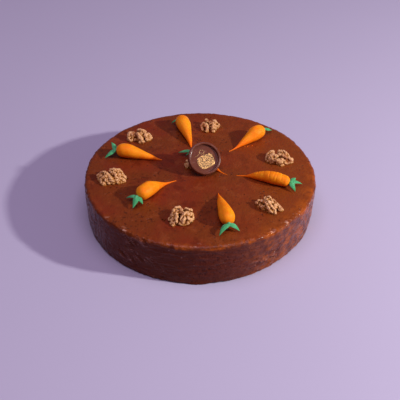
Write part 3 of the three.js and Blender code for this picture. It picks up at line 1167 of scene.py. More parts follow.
@dataclass
class SugarCarrot:
    """A carrot rolled from orange paste, with its pinched green leaves."""

    number: int
    crown: float  # where the round end starts
    bow: float  # how far the root bows sideways, in millimetres
    outline: tuple[Span, ...]  # share of the length from the root tip, share of the thickness
    leaves: tuple[Leaf, ...]
    rings: tuple[float, ...] = ()  # where rings are scored across its upper side
    sides: int = 56
    stations: int = 110
    blend: float = 0.06  # the outline's corners are rounded over this share of the length
    sink: float = 0.25  # pressed this far into the glaze
    flat_below: float = 0.12  # its underside is flat up to this share of its radius
    leaf_thickness: float = 2.4
    leaf_arch: float = 0.08  # as a share of its length, as is its curl
    leaf_curl: float = 0.05
    leaf_keel: float = 0.35  # how much thinner it is at its edges
    leaf_stations: int = 26
    leaf_sides: int = 20
    leaf_voxel: float = 0.28
    leaf_wave: float = 0.12
    stalk_radius: float = 1.9
    stalk_height: float = 0.8  # as a share of the carrot's radius

    def radius_at(self, s: float) -> float:
        """The carrot's radius, rounded off at its crown.

        Args:
            s: Share of the length, 0 at the root tip.

        Returns:
            The radius in millimetres.
        """
        stations, shares = zip(*self.outline)
        nearby = np.linspace(s - self.blend, s + self.blend, 7)
        share = float(np.interp(nearby, stations, shares).mean())
        end = max(0.0, (s - self.crown) / (1 - self.crown))
        return self.lie.radius * share * math.sqrt(max(0.0, 1 - end**2.4))

    def bow_at(self, s: float) -> float:
        """Sideways bow at s in millimetres; both ends stay in line."""
        peak = 4 / 27  # the greatest height of the curve
        return self.bow / peak * s * (1 - s) ** 2

    def scored(self, s: float, turn: float) -> float:
        """Depth of the scored rings.

        Args:
            s: Share of the length.
            turn: Angle round the carrot, 90 degrees at its top.

        Returns:
            The depth in millimetres.
        """
        depth = 0.0
        for i, at in enumerate(self.rings):
            wander = 0.012 * math.sin(turn + 1.7 * i)
            upper = smoothstep(-0.35, 0.5, math.sin(turn + 0.5 * math.sin(2.3 * i)))
            depth += (0.22 + 0.16 * (i % 3 == 0)) * upper * hump(s - at - wander, 0.009)
        return depth

    def body(self) -> bmesh.types.BMesh:
        """The carrot along +X with its root tip at the origin, lying on z = 0, in metres."""
        steps = self.stations
        spread = [self.crown * i / steps for i in range(steps)]
        ends = [self.crown + (1 - self.crown) * math.sin(math.pi / 2 * i / 16) for i in range(17)]
        profile = [(0.0, 0.0), *((self.radius_at(s), s) for s in spread + ends[:-1]), (0.0, 1.0)]
        shape = turned(profile, self.sides)
        seed = 20.0 + self.number
        for vertex in shape.verts:
            across, up, s = vertex.co.x / MM, vertex.co.y / MM, vertex.co.z / MM
            turn = math.atan2(up, across)
            lift = self.radius_at(min(s, self.crown))
            reach = math.hypot(across, up)
            x = s * self.lie.length
            spot = (x, across, up)
            dents = 0.28 * ripple(spot, (9, 7, 7), seed) + 0.08 * ripple(spot, 3, seed)
            grow = 1.0
            if reach > 0.05:
                grow += (dents * min(1.0, reach / 3) - self.scored(s, turn)) / reach
            z = max(lift + up * grow, self.flat_below * lift) - self.sink
            vertex.co = Vector((x, self.bow_at(s) + across * grow, z)) * MM
        bmesh.ops.recalc_face_normals(shape, faces=shape.faces)
        return shape

    def blade(self, shape: bmesh.types.BMesh, leaf: Leaf) -> None:
        """Adds one leaf to the bunch, along its turn from the origin.

        Args:
            shape: The bunch, in metres.
            leaf: The leaf's sizes.
        """
        profile = [(0.0, 0.0)]
        for i in range(1, self.leaf_stations):
            s = i / self.leaf_stations
            profile.append((0.5 * math.sin(math.pi * s**0.62) ** 0.8 * (1 - 0.3 * s), s))
        profile.append((0.0, 1.0))
        blade = turned(profile, self.leaf_sides)
        root_height = self.lie.radius * self.stalk_height
        spin = Matrix.Rotation(math.radians(leaf.turn), 3, "Z")
        for vertex in blade.verts:
            across, up, s = vertex.co.x / MM, vertex.co.y / MM, vertex.co.z / MM
            arch = self.leaf_arch * leaf.length * math.sin(math.pi * s)
            middle = root_height + (leaf.tip_height - root_height) * s**1.2 + arch
            curl = self.leaf_curl * leaf.length * math.sin(math.pi * s) * math.copysign(1, leaf.turn)
            keel = 1 - self.leaf_keel * abs(across) / 0.4
            height = middle + up * self.leaf_thickness * 1.15 * keel
            vertex.co = spin @ Vector((s * leaf.length, across * leaf.width + curl, height)) * MM
        join_in(shape, blade)

    def bunch(self) -> bmesh.types.BMesh:
        """The leaves round their stalk, grown together, in metres."""
        shape = bmesh.new()
        for leaf in self.leaves:
            self.blade(shape, leaf)
        stalk = Matrix.Translation((0, 0, self.lie.radius * self.stalk_height * MM))
        stalk = stalk @ Matrix.Diagonal((1.15, 1.0, 0.95, 1))
        pinned = stalk @ Matrix.Translation((-0.9 * self.stalk_radius * MM, 0, 0))
        for share, place in ((1.0, stalk), (0.8, pinned)):
            radius = share * self.stalk_radius * MM
            bmesh.ops.create_icosphere(shape, subdivisions=3, radius=radius, matrix=place)
        bunch = fused(shape, self.leaf_voxel, 3)
        for vertex in bunch.verts:
            wave = ripple(vertex.co / MM, 2.5, 30.0 + self.number)
            vertex.co += vertex.normal * MM * self.leaf_wave * wave
            vertex.co.z = max(vertex.co.z, 0.05 * MM)
        return bunch

    def build(self, paste: bpy.types.Material, green: bpy.types.Material) -> None:
        """Adds the carrot and its leaves.

        Args:
            paste: The carrot's finish.
            green: The leaves' finish.
        """
        carrot, leaves = f"carrot_{self.number}", f"carrot_leaves_{self.number}"
        self.lie = Lie.from_frame(carrot, leaves)
        body = self.body()
        bmesh.ops.transform(body, matrix=self.lie.matrix(), verts=body.verts)
        add_piece(f"sugar_{carrot}", body, paste, (carrot,))
        bunch = self.bunch()
        out = Matrix.Translation(((self.lie.length + self.stalk_radius * 0.75) * MM, 0, 0))
        bmesh.ops.transform(bunch, matrix=self.lie.matrix() @ out, verts=bunch.verts)
        add_piece(f"sugar_{leaves}", bunch, green, (leaves,))


CARROTS = (
    SugarCarrot(
        1,
        crown=0.84,
        bow=0.4,
        outline=(
            (0, 0.05), (0.1, 0.16), (0.2, 0.34), (0.35, 0.53), (0.5, 0.71), (0.67, 0.95), (0.78, 1),
            (1, 0.9),
        ),
        leaves=(Leaf(-56, 14.0, 5.8, 8.0), Leaf(50, 14.5, 7.0, 1.6)),
    ),
    SugarCarrot(
        2,
        crown=0.85,
        bow=-0.9,
        outline=(
            (0, 0.06), (0.12, 0.24), (0.25, 0.4), (0.4, 0.57), (0.55, 0.77), (0.7, 0.95), (0.78, 1),
            (1, 0.88),
        ),
        leaves=(Leaf(92, 11.5, 4.8, 1.8),),
    ),
    SugarCarrot(
        3,
        crown=0.86,
        bow=-0.6,
        outline=(
            (0, 0.04), (0.15, 0.08), (0.25, 0.2), (0.35, 0.38), (0.5, 0.6), (0.6, 0.77), (0.7, 0.95),
            (0.77, 1), (1, 0.83),
        ),
        leaves=(Leaf(-14, 10.5, 7.4, 2.0),),
    ),
    SugarCarrot(
        4,
        crown=0.91,
        bow=1.9,
        outline=(
            (0, 0.05), (0.12, 0.08), (0.2, 0.18), (0.27, 0.38), (0.37, 0.62), (0.5, 0.82), (0.62, 0.96),
            (0.75, 1), (0.88, 0.93), (1, 0.82),
        ),
        leaves=(Leaf(74, 10.5, 6.2, 5.0), Leaf(24, 12.5, 6.0, 2.2), Leaf(-52, 12.0, 6.4, 1.6)),
        rings=(0.39, 0.44, 0.52, 0.62, 0.71, 0.78, 0.86),
    ),
    SugarCarrot(
        5,
        crown=0.86,
        bow=-0.5,
        outline=(
            (0, 0.05), (0.1, 0.18), (0.2, 0.33), (0.3, 0.49), (0.42, 0.62), (0.57, 0.8), (0.7, 0.93),
            (0.8, 1), (1, 0.96),
        ),
        leaves=(Leaf(-47, 16.0, 6.8, 1.6), Leaf(52, 12.0, 6.8, 1.6)),
    ),
    SugarCarrot(
        6,
        crown=0.85,
        bow=-2.6,
        outline=(
            (0, 0.05), (0.18, 0.11), (0.28, 0.24), (0.37, 0.43), (0.45, 0.6), (0.53, 0.74),
            (0.62, 0.91), (0.7, 1), (1, 0.93),
        ),
        leaves=(Leaf(-58, 12.0, 6.0, 2.0), Leaf(33, 14.0, 6.8, 1.6), Leaf(88, 10.5, 6.2, 2.6)),
    ),
    SugarCarrot(
        7,
        crown=0.85,
        bow=1.6,
        outline=(
            (0, 0.04), (0.12, 0.06), (0.2, 0.12), (0.28, 0.34), (0.5, 0.68), (0.7, 0.94), (0.8, 1),
            (1, 0.92),
        ),
        leaves=(Leaf(43, 15.0, 5.6, 3.0), Leaf(74, 7.5, 4.2, 1.8)),
    ),
)


# ---------------------------------------------------------------- walnut halves


@dataclass
class Fold:
    """One worm-like fold: its radius and the points that its crest passes, from the walnut's middle."""

    radius: float
    crest: tuple[Point, ...]


@dataclass
class WalnutHalf:
    """A shelled walnut half, round side up: lumps of flesh under folds, all grown together."""

    number: int
    folds: tuple[Fold, ...]
    flesh: tuple[tuple[float, float, float, float, float], ...]  # x, y, half sizes and height of each lump
    voxel: float = 0.38
    plump: float = 1.08  # a fold's radius, as a share of the listed one
    bulge: float = 0.50  # how much that radius wanders
    heave: float = 0.7  # how much its crest rises and falls, in millimetres
    flesh_lift: float = 1.2  # the height of the flesh, as a share of the listed one
    spread: float = 0.95  # how far apart they lie, as a share of their listed places
    lobe: float = 5.8  # how far apart its creases are
    sink: float = 0.3

    def lumps(self) -> bmesh.types.BMesh:
        """Overlapping balls along every fold and down to the cake, and the flesh under them, in metres."""
        shape = bmesh.new()
        seed = 40.0 + self.number
        for x, y, wide, deep, high in self.flesh:
            size = Matrix.Diagonal((wide, deep, high * self.flesh_lift, 1))
            place = Matrix.Translation(Vector((x, y, 0)) * MM) @ size
            bmesh.ops.create_icosphere(shape, subdivisions=3, radius=MM, matrix=place)
        for fold in self.folds:
            for start, end in zip(fold.crest, fold.crest[1:]):
                start, end = (Vector((x * self.spread, y * self.spread, z)) for x, y, z in (start, end))
                count = max(1, round((end - start).length / (0.45 * fold.radius)))
                for i in range(count + 1):
                    crest = start.lerp(end, i / count)
                    wander = ripple(crest, 3.2, seed)
                    radius = fold.radius * (self.plump + self.bulge * wander)
                    crest.z += self.heave * ripple((crest.x, crest.y, 0.0), 3.8, seed + 5)
                    z = max(crest.z - radius, 0.2 * radius)
                    while z > -0.2 * radius:
                        place = Matrix.Translation(Vector((crest.x, crest.y, z)) * MM)
                        bmesh.ops.create_icosphere(shape, subdivisions=2, radius=radius * MM, matrix=place)
                        z -= 1.1 * radius
        return shape

    def shape(self) -> bmesh.types.BMesh:
        """One wrinkled skin over the lumps, flat below, with its fold number, which carries painted shade in
        hollows and low down.
        """
        shape = fused(self.lumps(), self.voxel, 1)
        seed = 50.0 + self.number
        lines = []
        for vertex in shape.verts:
            spot = vertex.co / MM
            x, y, z = (part / self.lobe for part in spot)
            nearest, next_one = noise.voronoi(Vector((x, y, z + seed)))[0][:2]
            crease = smoothstep(0.16, 0.0, next_one - nearest)
            wrinkle = smoothstep(0.3, 0.0, abs(ripple(spot, 2.7, seed + 3)))
            bump = ripple(spot, 1.9, seed + 6)
            vertex.co += vertex.normal * MM * (0.38 * bump - 0.60 * crease - 0.20 * wrinkle)
            # partly painted shade: darker lines along the creases
            lines.append(0.12 * crease + 0.05 * wrinkle)
            vertex.co.z = max(vertex.co.z, 0.0)
        shape.normal_update()
        layer = shape.verts.layers.float.new("fold")
        # painted shade: darker in narrow and wide hollows
        depths = 0.55 * hollow_depths(shape, 16) + 0.55 * hollow_depths(shape, 90)
        for vertex, depth, line in zip(shape.verts, depths, lines):
            # painted shade: darker low down, near the glaze
            low = smoothstep(0.0, 3.0, vertex.co.z / MM)
            vertex[layer] = min(1.0, max(0.0, 0.60 + depth - line)) * (0.35 + 0.65 * low)
        return shape

    def build(self, finish: bpy.types.Material) -> None:
        """Adds the walnut half in its node's place.

        Args:
            finish: The walnut's finish.
        """
        node = f"walnut_{self.number}"
        low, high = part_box(node)
        shape = self.shape()
        middle = (low + high) / 2
        place = Vector((middle.x, middle.y, low.z - self.sink * MM))
        bmesh.ops.translate(shape, vec=place, verts=shape.verts)
        add_piece(f"walnut_half_{self.number}", shape, finish, (node,))


WALNUTS = (
    WalnutHalf(
        1,
        (
            Fold(2.6, ((-11.5, -1, 8), (-12, -4.5, 6), (-9.5, -5, 3))),
            Fold(2.5, ((-11, 0, 9), (-7, 0, 9.5), (-5, -2, 8))),
            Fold(2.0, ((-5, -5, 4), (-5, -4.5, 2.5))),
            Fold(2.2, ((-1.5, 7, 9), (2.5, 4.5, 10), (6, 4.5, 9))),
            Fold(2.6, ((-1.5, -2.5, 10), (0.5, -5.5, 9), (3, -8.5, 6.5), (5, -9.5, 3))),
            Fold(2.0, ((-1, -3.5, 7), (-1, -6.5, 5), (1, -9.5, 3))),
            Fold(2.3, ((5, 1.5, 9), (7.5, -2, 8), (8.5, -4.5, 5), (9.5, -5, 2.5))),
            Fold(2.3, ((10, 1, 7), (12.5, -1, 5), (11.5, -3.5, 3))),
        ),
        ((-8, -1.5, 4.5, 4.5, 7), (2, 0, 4.5, 7, 7.5), (9, 0, 4, 4.5, 6)),
    ),
    WalnutHalf(
        2,
        (
            Fold(2.2, ((-5, 5.5, 8.5), (-3.5, 3.5, 8.5))),
            Fold(2.0, ((-5.5, -3.5, 8.5), (-4, -7, 8), (-4, -9.5, 6), (-5, -10.5, 3.5))),
            Fold(1.9, ((-8, 2.5, 6), (-10, -0.5, 5), (-9.5, -6.5, 4), (-7.5, -9, 2.5))),
            Fold(1.7, ((0, 2.5, 8), (-0.5, -2.5, 7.5))),
            Fold(2.1, ((3, 3.5, 8.5), (5, 4, 8.5), (6, 1.5, 8))),
            Fold(1.7, ((0.5, -1.5, 8), (3, -2, 8.5))),
            Fold(2.0, ((3.5, -6.5, 9), (2.5, -9, 7.5), (2, -9.5, 5), (3.5, -10.5, 3.5))),
            Fold(1.9, ((5, -7, 8), (4.5, -8.5, 6), (4.5, -8.5, 3.5))),
            Fold(1.9, ((8.5, 1, 6), (9.5, 0.5, 5.5))),
            Fold(1.7, ((6.5, -3.5, 5.5), (8, -3, 5))),
            Fold(1.2, ((9.5, -1.5, 3), (10, -1.5, 2.5))),
        ),
        (
            (-6.5, -1.5, 3.2, 6.5, 5.5),
            (4.5, -2, 3, 6.5, 6),
            (-0.5, 1.5, 4, 3, 5.5),
            (8.5, -0.5, 2.5, 2.5, 3.5),
        ),
    ),
    WalnutHalf(
        3,
        (
            Fold(1.8, ((-9.5, 8, 8), (-6.5, 8.5, 8))),
            Fold(2.1, ((-12.5, 4.5, 7), (-14, 0.5, 5), (-13, -3, 3.5))),
            Fold(2.3, ((-10.5, -1, 8), (-7, 0, 9.5), (-3.5, -2.5, 9))),
            Fold(2.1, ((-7.5, -5, 7), (-9, -5.5, 3.5))),
            Fold(2.2, ((-5, -6, 7), (-4.5, -6, 3))),
            Fold(2.2, ((0.5, 7.5, 9), (4.5, 6.5, 9.5), (7.5, 3.5, 9), (10, 0.5, 7))),
            Fold(2.0, ((0, 0, 9.5), (4, -2, 9.5), (7, -3.5, 8.5), (10.5, -3, 7))),
            Fold(2.2, ((-2.5, -7.5, 8), (1.5, -8.5, 6), (-0.5, -8.5, 3))),
            Fold(1.8, ((1.5, -7.5, 8), (4.5, -8, 7))),
            Fold(2.3, ((1.5, -10, 2.5), (5.5, -7.5, 3.5))),
            Fold(2.1, ((13, -2, 5), (13, -4.5, 4), (10, -6.5, 2.8))),
        ),
        ((-7.5, 0, 6.2, 7, 7), (5, 2, 7, 5.5, 7), (3, -6.5, 7, 3.5, 3.5)),
    ),
    WalnutHalf(
        4,
        (
            Fold(1.9, ((-11, 5, 7), (-6.5, 4, 7))),
            Fold(1.9, ((-4, 8.5, 8), (0, 8, 9), (1, 5.5, 9))),
            Fold(2.3, ((-3, 3.5, 9.5), (-1.5, -1.5, 10))),
            Fold(2.0, ((1.5, 2.5, 9), (2, -1, 9))),
            Fold(1.7, ((-3.5, -2.5, 9), (-1.5, -6.5, 7), (0, -9.5, 4.5), (3.5, -11, 2.5))),
            Fold(1.8, ((-1, -3, 9.5), (2, -7, 8), (4.5, -9, 5), (4.5, -11, 3))),
            Fold(1.5, ((-13.5, 5.5, 4), (-12, 3, 4.5))),
            Fold(1.5, ((-10, -2, 4), (-7.5, -2.5, 5), (-4.5, -3, 6))),
            Fold(1.4, ((-7.5, -3, 2.5), (-6, -4, 2))),
            Fold(2.2, ((4, 3, 8.5), (7.5, -1.5, 7.5), (10, -4, 5), (12.5, -5.5, 2.5))),
            Fold(1.6, ((5.5, -0.5, 8), (5, -4.5, 6))),
        ),
        ((-3, 2.5, 4.5, 5, 7.5), (0.5, -4.5, 2.4, 4.5, 4.5), (6, 0, 3.2, 3.6, 5.5), (-8.5, 1.5, 4.2, 4, 3.5)),
    ),
    WalnutHalf(
        5,
        (
            Fold(2.2, ((-4, 8, 9), (-1, 9, 9.5))),
            Fold(1.6, ((-2, 3, 9), (-0.5, 2, 8.5))),
            Fold(1.9, ((1.5, 4.5, 9.5), (1.5, 1.5, 9), (3.5, -0.5, 9))),
            Fold(2.2, ((-6.5, 5.5, 8), (-6.5, 1.5, 7.5), (-4, 1, 8))),
            Fold(2.0, ((-8, -0.5, 6), (-6, -5, 6.5), (-4, -8.5, 5.5))),
            Fold(2.0, ((-3.5, -1.5, 8.5), (-3, -6, 8), (-3.5, -9, 6))),
            Fold(2.0, ((-10, -3.5, 4.5), (-8, -8, 4.5), (-6, -10.5, 3.5))),
            Fold(1.7, ((-9, -9, 2.5), (-7, -11.5, 2))),
            Fold(2.3, ((6, 6, 9.5), (8.5, 4.5, 9.5), (10.5, 5.5, 8))),
            Fold(2.5, ((6.5, -1.5, 10), (9.5, -2.5, 9), (11.5, 1, 7))),
            Fold(2.4, ((8, -7, 8.5), (10.5, -5.5, 6))),
            Fold(1.9, ((12, 3, 5), (13, -2, 4.5), (11.5, -4.5, 3.5))),
            Fold(2.2, ((4.5, -2.5, 10), (3, -5.5, 9), (1.5, -9, 7), (1, -10.5, 4.5))),
            Fold(1.8, ((5, -7.5, 9), (4, -10, 7.5), (2.5, -10.5, 4.5))),
            Fold(1.9, ((9, -8, 4.5), (7, -9.5, 3.5), (4.5, -11, 2.2))),
            Fold(1.4, ((-0.5, -9.5, 3), (-0.5, -9.5, 2))),
        ),
        ((-6, 0, 4, 9.5, 6), (7.5, -1, 5, 9, 7.5), (1, 4, 4, 3.5, 7)),
    ),
    WalnutHalf(
        6,
        (
            Fold(2.6, ((0.5, 7.5, 9), (4.5, 6.5, 10), (8.5, 7.5, 9), (11, 5.5, 7))),
            Fold(2.6, ((2.5, 2.5, 9), (6, -1.5, 9), (10, 0, 8))),
            Fold(2.1, ((-6.5, 3.5, 9), (-10, 4, 7.5), (-13, 3.5, 5))),
            Fold(2.3, ((-5, 2, 9), (-1.5, -1.5, 8), (1.5, -7, 8), (4, -8, 6.5))),
            Fold(2.6, ((-5, -3, 8), (-8.5, -4, 6), (-8, -7.5, 4), (-5.5, -10, 2.5))),
            Fold(2.4, ((-3.5, -7, 7), (-1, -8.5, 4))),
            Fold(2.3, ((2.5, -6.5, 5), (3.5, -8.5, 3))),
            Fold(2.2, ((7, -6.5, 6), (9, -7, 2.5))),
            Fold(2.3, ((6, -4.5, 8), (10.5, -4.5, 7), (14.5, -4.5, 4), (12.5, -6.5, 2.5))),
            Fold(2.2, ((12.5, 2.5, 7), (15, 0.5, 5))),
            Fold(1.8, ((-13.5, 2.5, 4), (-11, -4, 3), (-9.5, -6.5, 2))),
        ),
        ((5.5, 5, 7, 4.5, 7.5), (0, -3, 7.5, 5.5, 6), (9, -3, 5.5, 4, 5.5), (-9, 1, 4, 4.5, 5)),
    ),
    WalnutHalf(
        7,
        (
            Fold(2.1, ((-5, 4, 6.5), (-1, 5, 7))),
            Fold(2.1, ((-5, -1, 6), (-1, -2, 6.5))),
            Fold(1.9, ((2.5, 1, 6.5), (4, -3, 4.5))),
            Fold(1.7, ((-6.5, 1, 4), (-5.5, -3, 3))),
            Fold(1.7, ((0, -4.5, 3.5), (2.5, -5, 2.5))),
        ),
        ((-0.5, 0, 4.8, 4.6, 5),),
    ),
)


# ---------------------------------------------------------------- chocolate disc


@dataclass
class ChocolateDisc:
    """The moulded disc: a raised round rim about a sunk floor, leaning back."""

    chocolate: bpy.types.Material
    gold: bpy.types.Material
    node: str = "chocolate_disc"
    radius: float = 17.3
    thickness: float = 5.6
    rim_width: float = 2.6
    recess: float = 3.1
    rounding: float = 1.2
    face_azimuth: float = -70.0
    face_elevation: float = 46.0
    sides: int = 128
    mark_middle: Span = (1.0, -2.4)  # right and up, from the disc's middle
    mark_side: float = 9.3
    mark_up: float = 6.6
    mark_down: float = 7.9
    mark_squareness: float = 3.2  # 2 is an ellipse
    mark_tilt: float = 14.0
    row_tilt: float = 26.0
    dabs: int = 5
    dab_gap: float = 1.9
    first_dab: Span = (-8.6, 3.6)
    ring_dabs: int = 16
    ring_radius: float = 2.6
    ring_middle: Span = (-1.0, 7.6)

    def matrix(self) -> Matrix:
        """Takes a disc made face up at the origin, in metres, to its leaning place in the frame."""
        low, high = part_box(self.node)
        turn = Matrix.Rotation(math.radians(self.face_azimuth), 4, "Z")
        tilt = Matrix.Rotation(math.radians(90 - self.face_elevation), 4, "Y")
        facing = (turn @ tilt).to_3x3() @ Vector((0, 0, 1))
        middle = (low + high) / 2 + facing * self.thickness / 2 * MM
        return Matrix.Translation(middle) @ turn @ tilt

    @staticmethod
    def arc(centre: Span, radius: float, start: float, end: float, steps: int) -> list[Span]:
        """Points on a round edge of the section.

        Args:
            centre: Its middle, radius and height in millimetres.
            radius: Its radius.
            start: First angle in degrees.
            end: Last angle.
            steps: Number of straight steps.

        Returns:
            The points.
        """
        turns = [math.radians(start + (end - start) * i / steps) for i in range(steps + 1)]
        return [(centre[0] + radius * math.cos(t), centre[1] + radius * math.sin(t)) for t in turns]

    def shape(self) -> bmesh.types.BMesh:
        """The disc face up, in metres."""
        foot = 0.6 * self.rounding
        inner = 0.8 * self.rounding
        floor = self.radius - self.rim_width
        profile = [(0.0, -self.thickness)]
        profile += [(r, -self.thickness) for r in (5.0, 10.0, 14.0)]
        profile += self.arc((self.radius - foot, foot - self.thickness), foot, -90, 0, 6)
        profile += self.arc((self.radius - self.rounding, -self.rounding), self.rounding, 0, 90, 10)
        profile += self.arc((floor + inner, -inner), inner, 90, 180, 8)
        profile += self.arc((floor - 0.7, 0.7 - self.recess), 0.7, 0, -90, 5)
        profile += [(r, -self.recess) for r in (12.0, 9.0, 6.0, 3.0)]
        profile.append((0.0, -self.recess))
        shape = turned(profile, self.sides)
        for vertex in shape.verts:
            spot = vertex.co / MM
            vertex.co.z += 0.10 * MM * ripple(spot, 7, 60.0)
            vertex.co.x += 0.12 * MM * ripple(spot, 9, 61.0)
        bmesh.ops.recalc_face_normals(shape, faces=shape.faces)
        return shape

    @staticmethod
    def dust(shape: bmesh.types.BMesh, reach: Callable[[float], float], middle: Span) -> None:
        """Adds one coat of gold dust, a closed slip as thick as paint, to the mark.

        Args:
            shape: The mark, lying on z = 0, in metres.
            reach: The outline's distance from the middle in millimetres, for a turn in radians.
            middle: Its middle, to the right and up the disc, in millimetres.
        """
        top, brim, under = 0.12, 0.04, -0.05
        profile = [(share, top) for share in (0.0, 0.2, 0.4, 0.6, 0.8, 0.94)]
        slip = turned([*profile, (1.0, brim), (1.0, under), (0.0, under)], 96)
        for vertex in slip.verts:
            turn = math.atan2(vertex.co.y, vertex.co.x)
            share = math.hypot(vertex.co.x, vertex.co.y) / MM
            right = middle[0] + share * reach(turn) * math.cos(turn)
            up = middle[1] + share * reach(turn) * math.sin(turn)
            vertex.co = Vector((-up * MM, right * MM, vertex.co.z))
        join_in(shape, slip)

    @staticmethod
    def dab(size: float, stretch: float, heading: float) -> Callable[[float], float]:
        """The outline of an oval dab.

        Args:
            size: Its mean radius in millimetres.
            stretch: How much longer it is than wide, as a share.
            heading: The turn of its long side in radians.

        Returns:
            A function that gives the outline's distance from the middle for a turn in radians.
        """
        return lambda turn: size * (1 + stretch * math.cos(2 * (turn - heading)))

    def half_round(self, turn: float) -> float:
        """The outline of the big patch: rounded, flatter above than below, with ragged edges.

        Args:
            turn: Direction from its middle, in radians.

        Returns:
            The outline's distance from the middle in millimetres.
        """
        lean = turn - math.radians(self.mark_tilt)
        tall = self.mark_up if math.sin(lean) > 0 else self.mark_down
        square = self.mark_squareness
        across = abs(math.cos(lean) / self.mark_side) ** square
        along = abs(math.sin(lean) / tall) ** square
        ragged = 0.35 * ripple((2.4 * math.cos(turn), 2.4 * math.sin(turn), 0.0), 1, 62.0)
        reach = (across + along) ** (-1 / square) + ragged
        return reach + 0.2 * ripple((9 * math.cos(turn), 9 * math.sin(turn), 0.0), 1, 63.0)

    def mark(self) -> bmesh.types.BMesh:
        """A plain half-round gold patch, a row of dabs and a small ring on the sunk floor, in metres."""
        shape = bmesh.new()
        self.dust(shape, self.half_round, self.mark_middle)
        tilt = math.radians(self.row_tilt)
        right, up = self.first_dab
        for i in range(self.dabs):
            away = i * self.dab_gap
            middle = (right + away * math.cos(tilt), up + away * math.sin(tilt))
            self.dust(shape, self.dab(0.45 + 0.2 * (i % 2), 0.3, 0.5), middle)
        right, up = self.ring_middle
        for i in range(self.ring_dabs):
            turn = math.tau * i / self.ring_dabs
            middle = (
                right + self.ring_radius * math.cos(turn),
                up + 0.8 * self.ring_radius * math.sin(turn),
            )
            self.dust(shape, self.dab(0.42, 0.35, turn), middle)
        layer = shape.verts.layers.float.new("worn")
        for vertex in shape.verts:
            up = -vertex.co.x / MM
            vertex[layer] = smoothstep(-6.0, 0.5, up)
            vertex.co.z += (0.02 - self.recess) * MM
        bmesh.ops.recalc_face_normals(shape, faces=shape.faces)
        return shape

    def build(self) -> None:
        """Adds the disc and its gold mark."""
        place = self.matrix()
        shape = self.shape()
        bmesh.ops.transform(shape, matrix=place, verts=shape.verts)
        add_piece("chocolate_plaque", shape, self.chocolate, (self.node,))
        mark = self.mark()
        bmesh.ops.transform(mark, matrix=place, verts=mark.verts)
        add_piece("gold_mark", mark, self.gold)


# ---------------------------------------------------------------- loose crumbs


@dataclass
class LooseCrumbs:
    """Crumbs of one kind, scattered in small heaps round the pieces that shed them."""

    name: str
    slot: Slot
    finish: bpy.types.Material
    heaps: tuple[tuple[str, float, float, float, int], ...]  # node, right and back of it, spread, how many
    sizes: Span = (0.45, 1.1)
    seed: int = 7

    def build(self) -> None:
        """Adds the crumbs as one piece."""
        shape = bmesh.new()
        lots = random.Random(self.seed)
        for node, right, back, spread, count in self.heaps:
            low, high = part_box(node)
            middle = (low + high) / 2
            for _ in range(count):
                size = lots.uniform(*self.sizes)
                x = middle.x / MM + right + lots.gauss(0, spread)
                y = middle.y / MM + back + lots.gauss(0, spread)
                place = (
                    Matrix.Translation(Vector((x, y, low.z / MM + 0.25 * size)) * MM)
                    @ Matrix.Rotation(lots.uniform(0, math.tau), 4, "Z")
                    @ Matrix.Diagonal((1.0, lots.uniform(0.55, 0.9), lots.uniform(0.5, 0.8), 1))
                )
                made = bmesh.ops.create_icosphere(shape, subdivisions=2, radius=size * MM, matrix=place)
                foot = Vector((x, y, low.z / MM)) * MM
                for vertex in made["verts"]:
                    out = 0.25 * size * MM * ripple(vertex.co / MM, size, 70.0)
                    vertex.co += out * (vertex.co - foot).normalized()
        bmesh.ops.recalc_face_normals(shape, faces=shape.faces)
        add_piece(self.name, shape, self.finish)


# ---------------------------------------------------------------- the studio


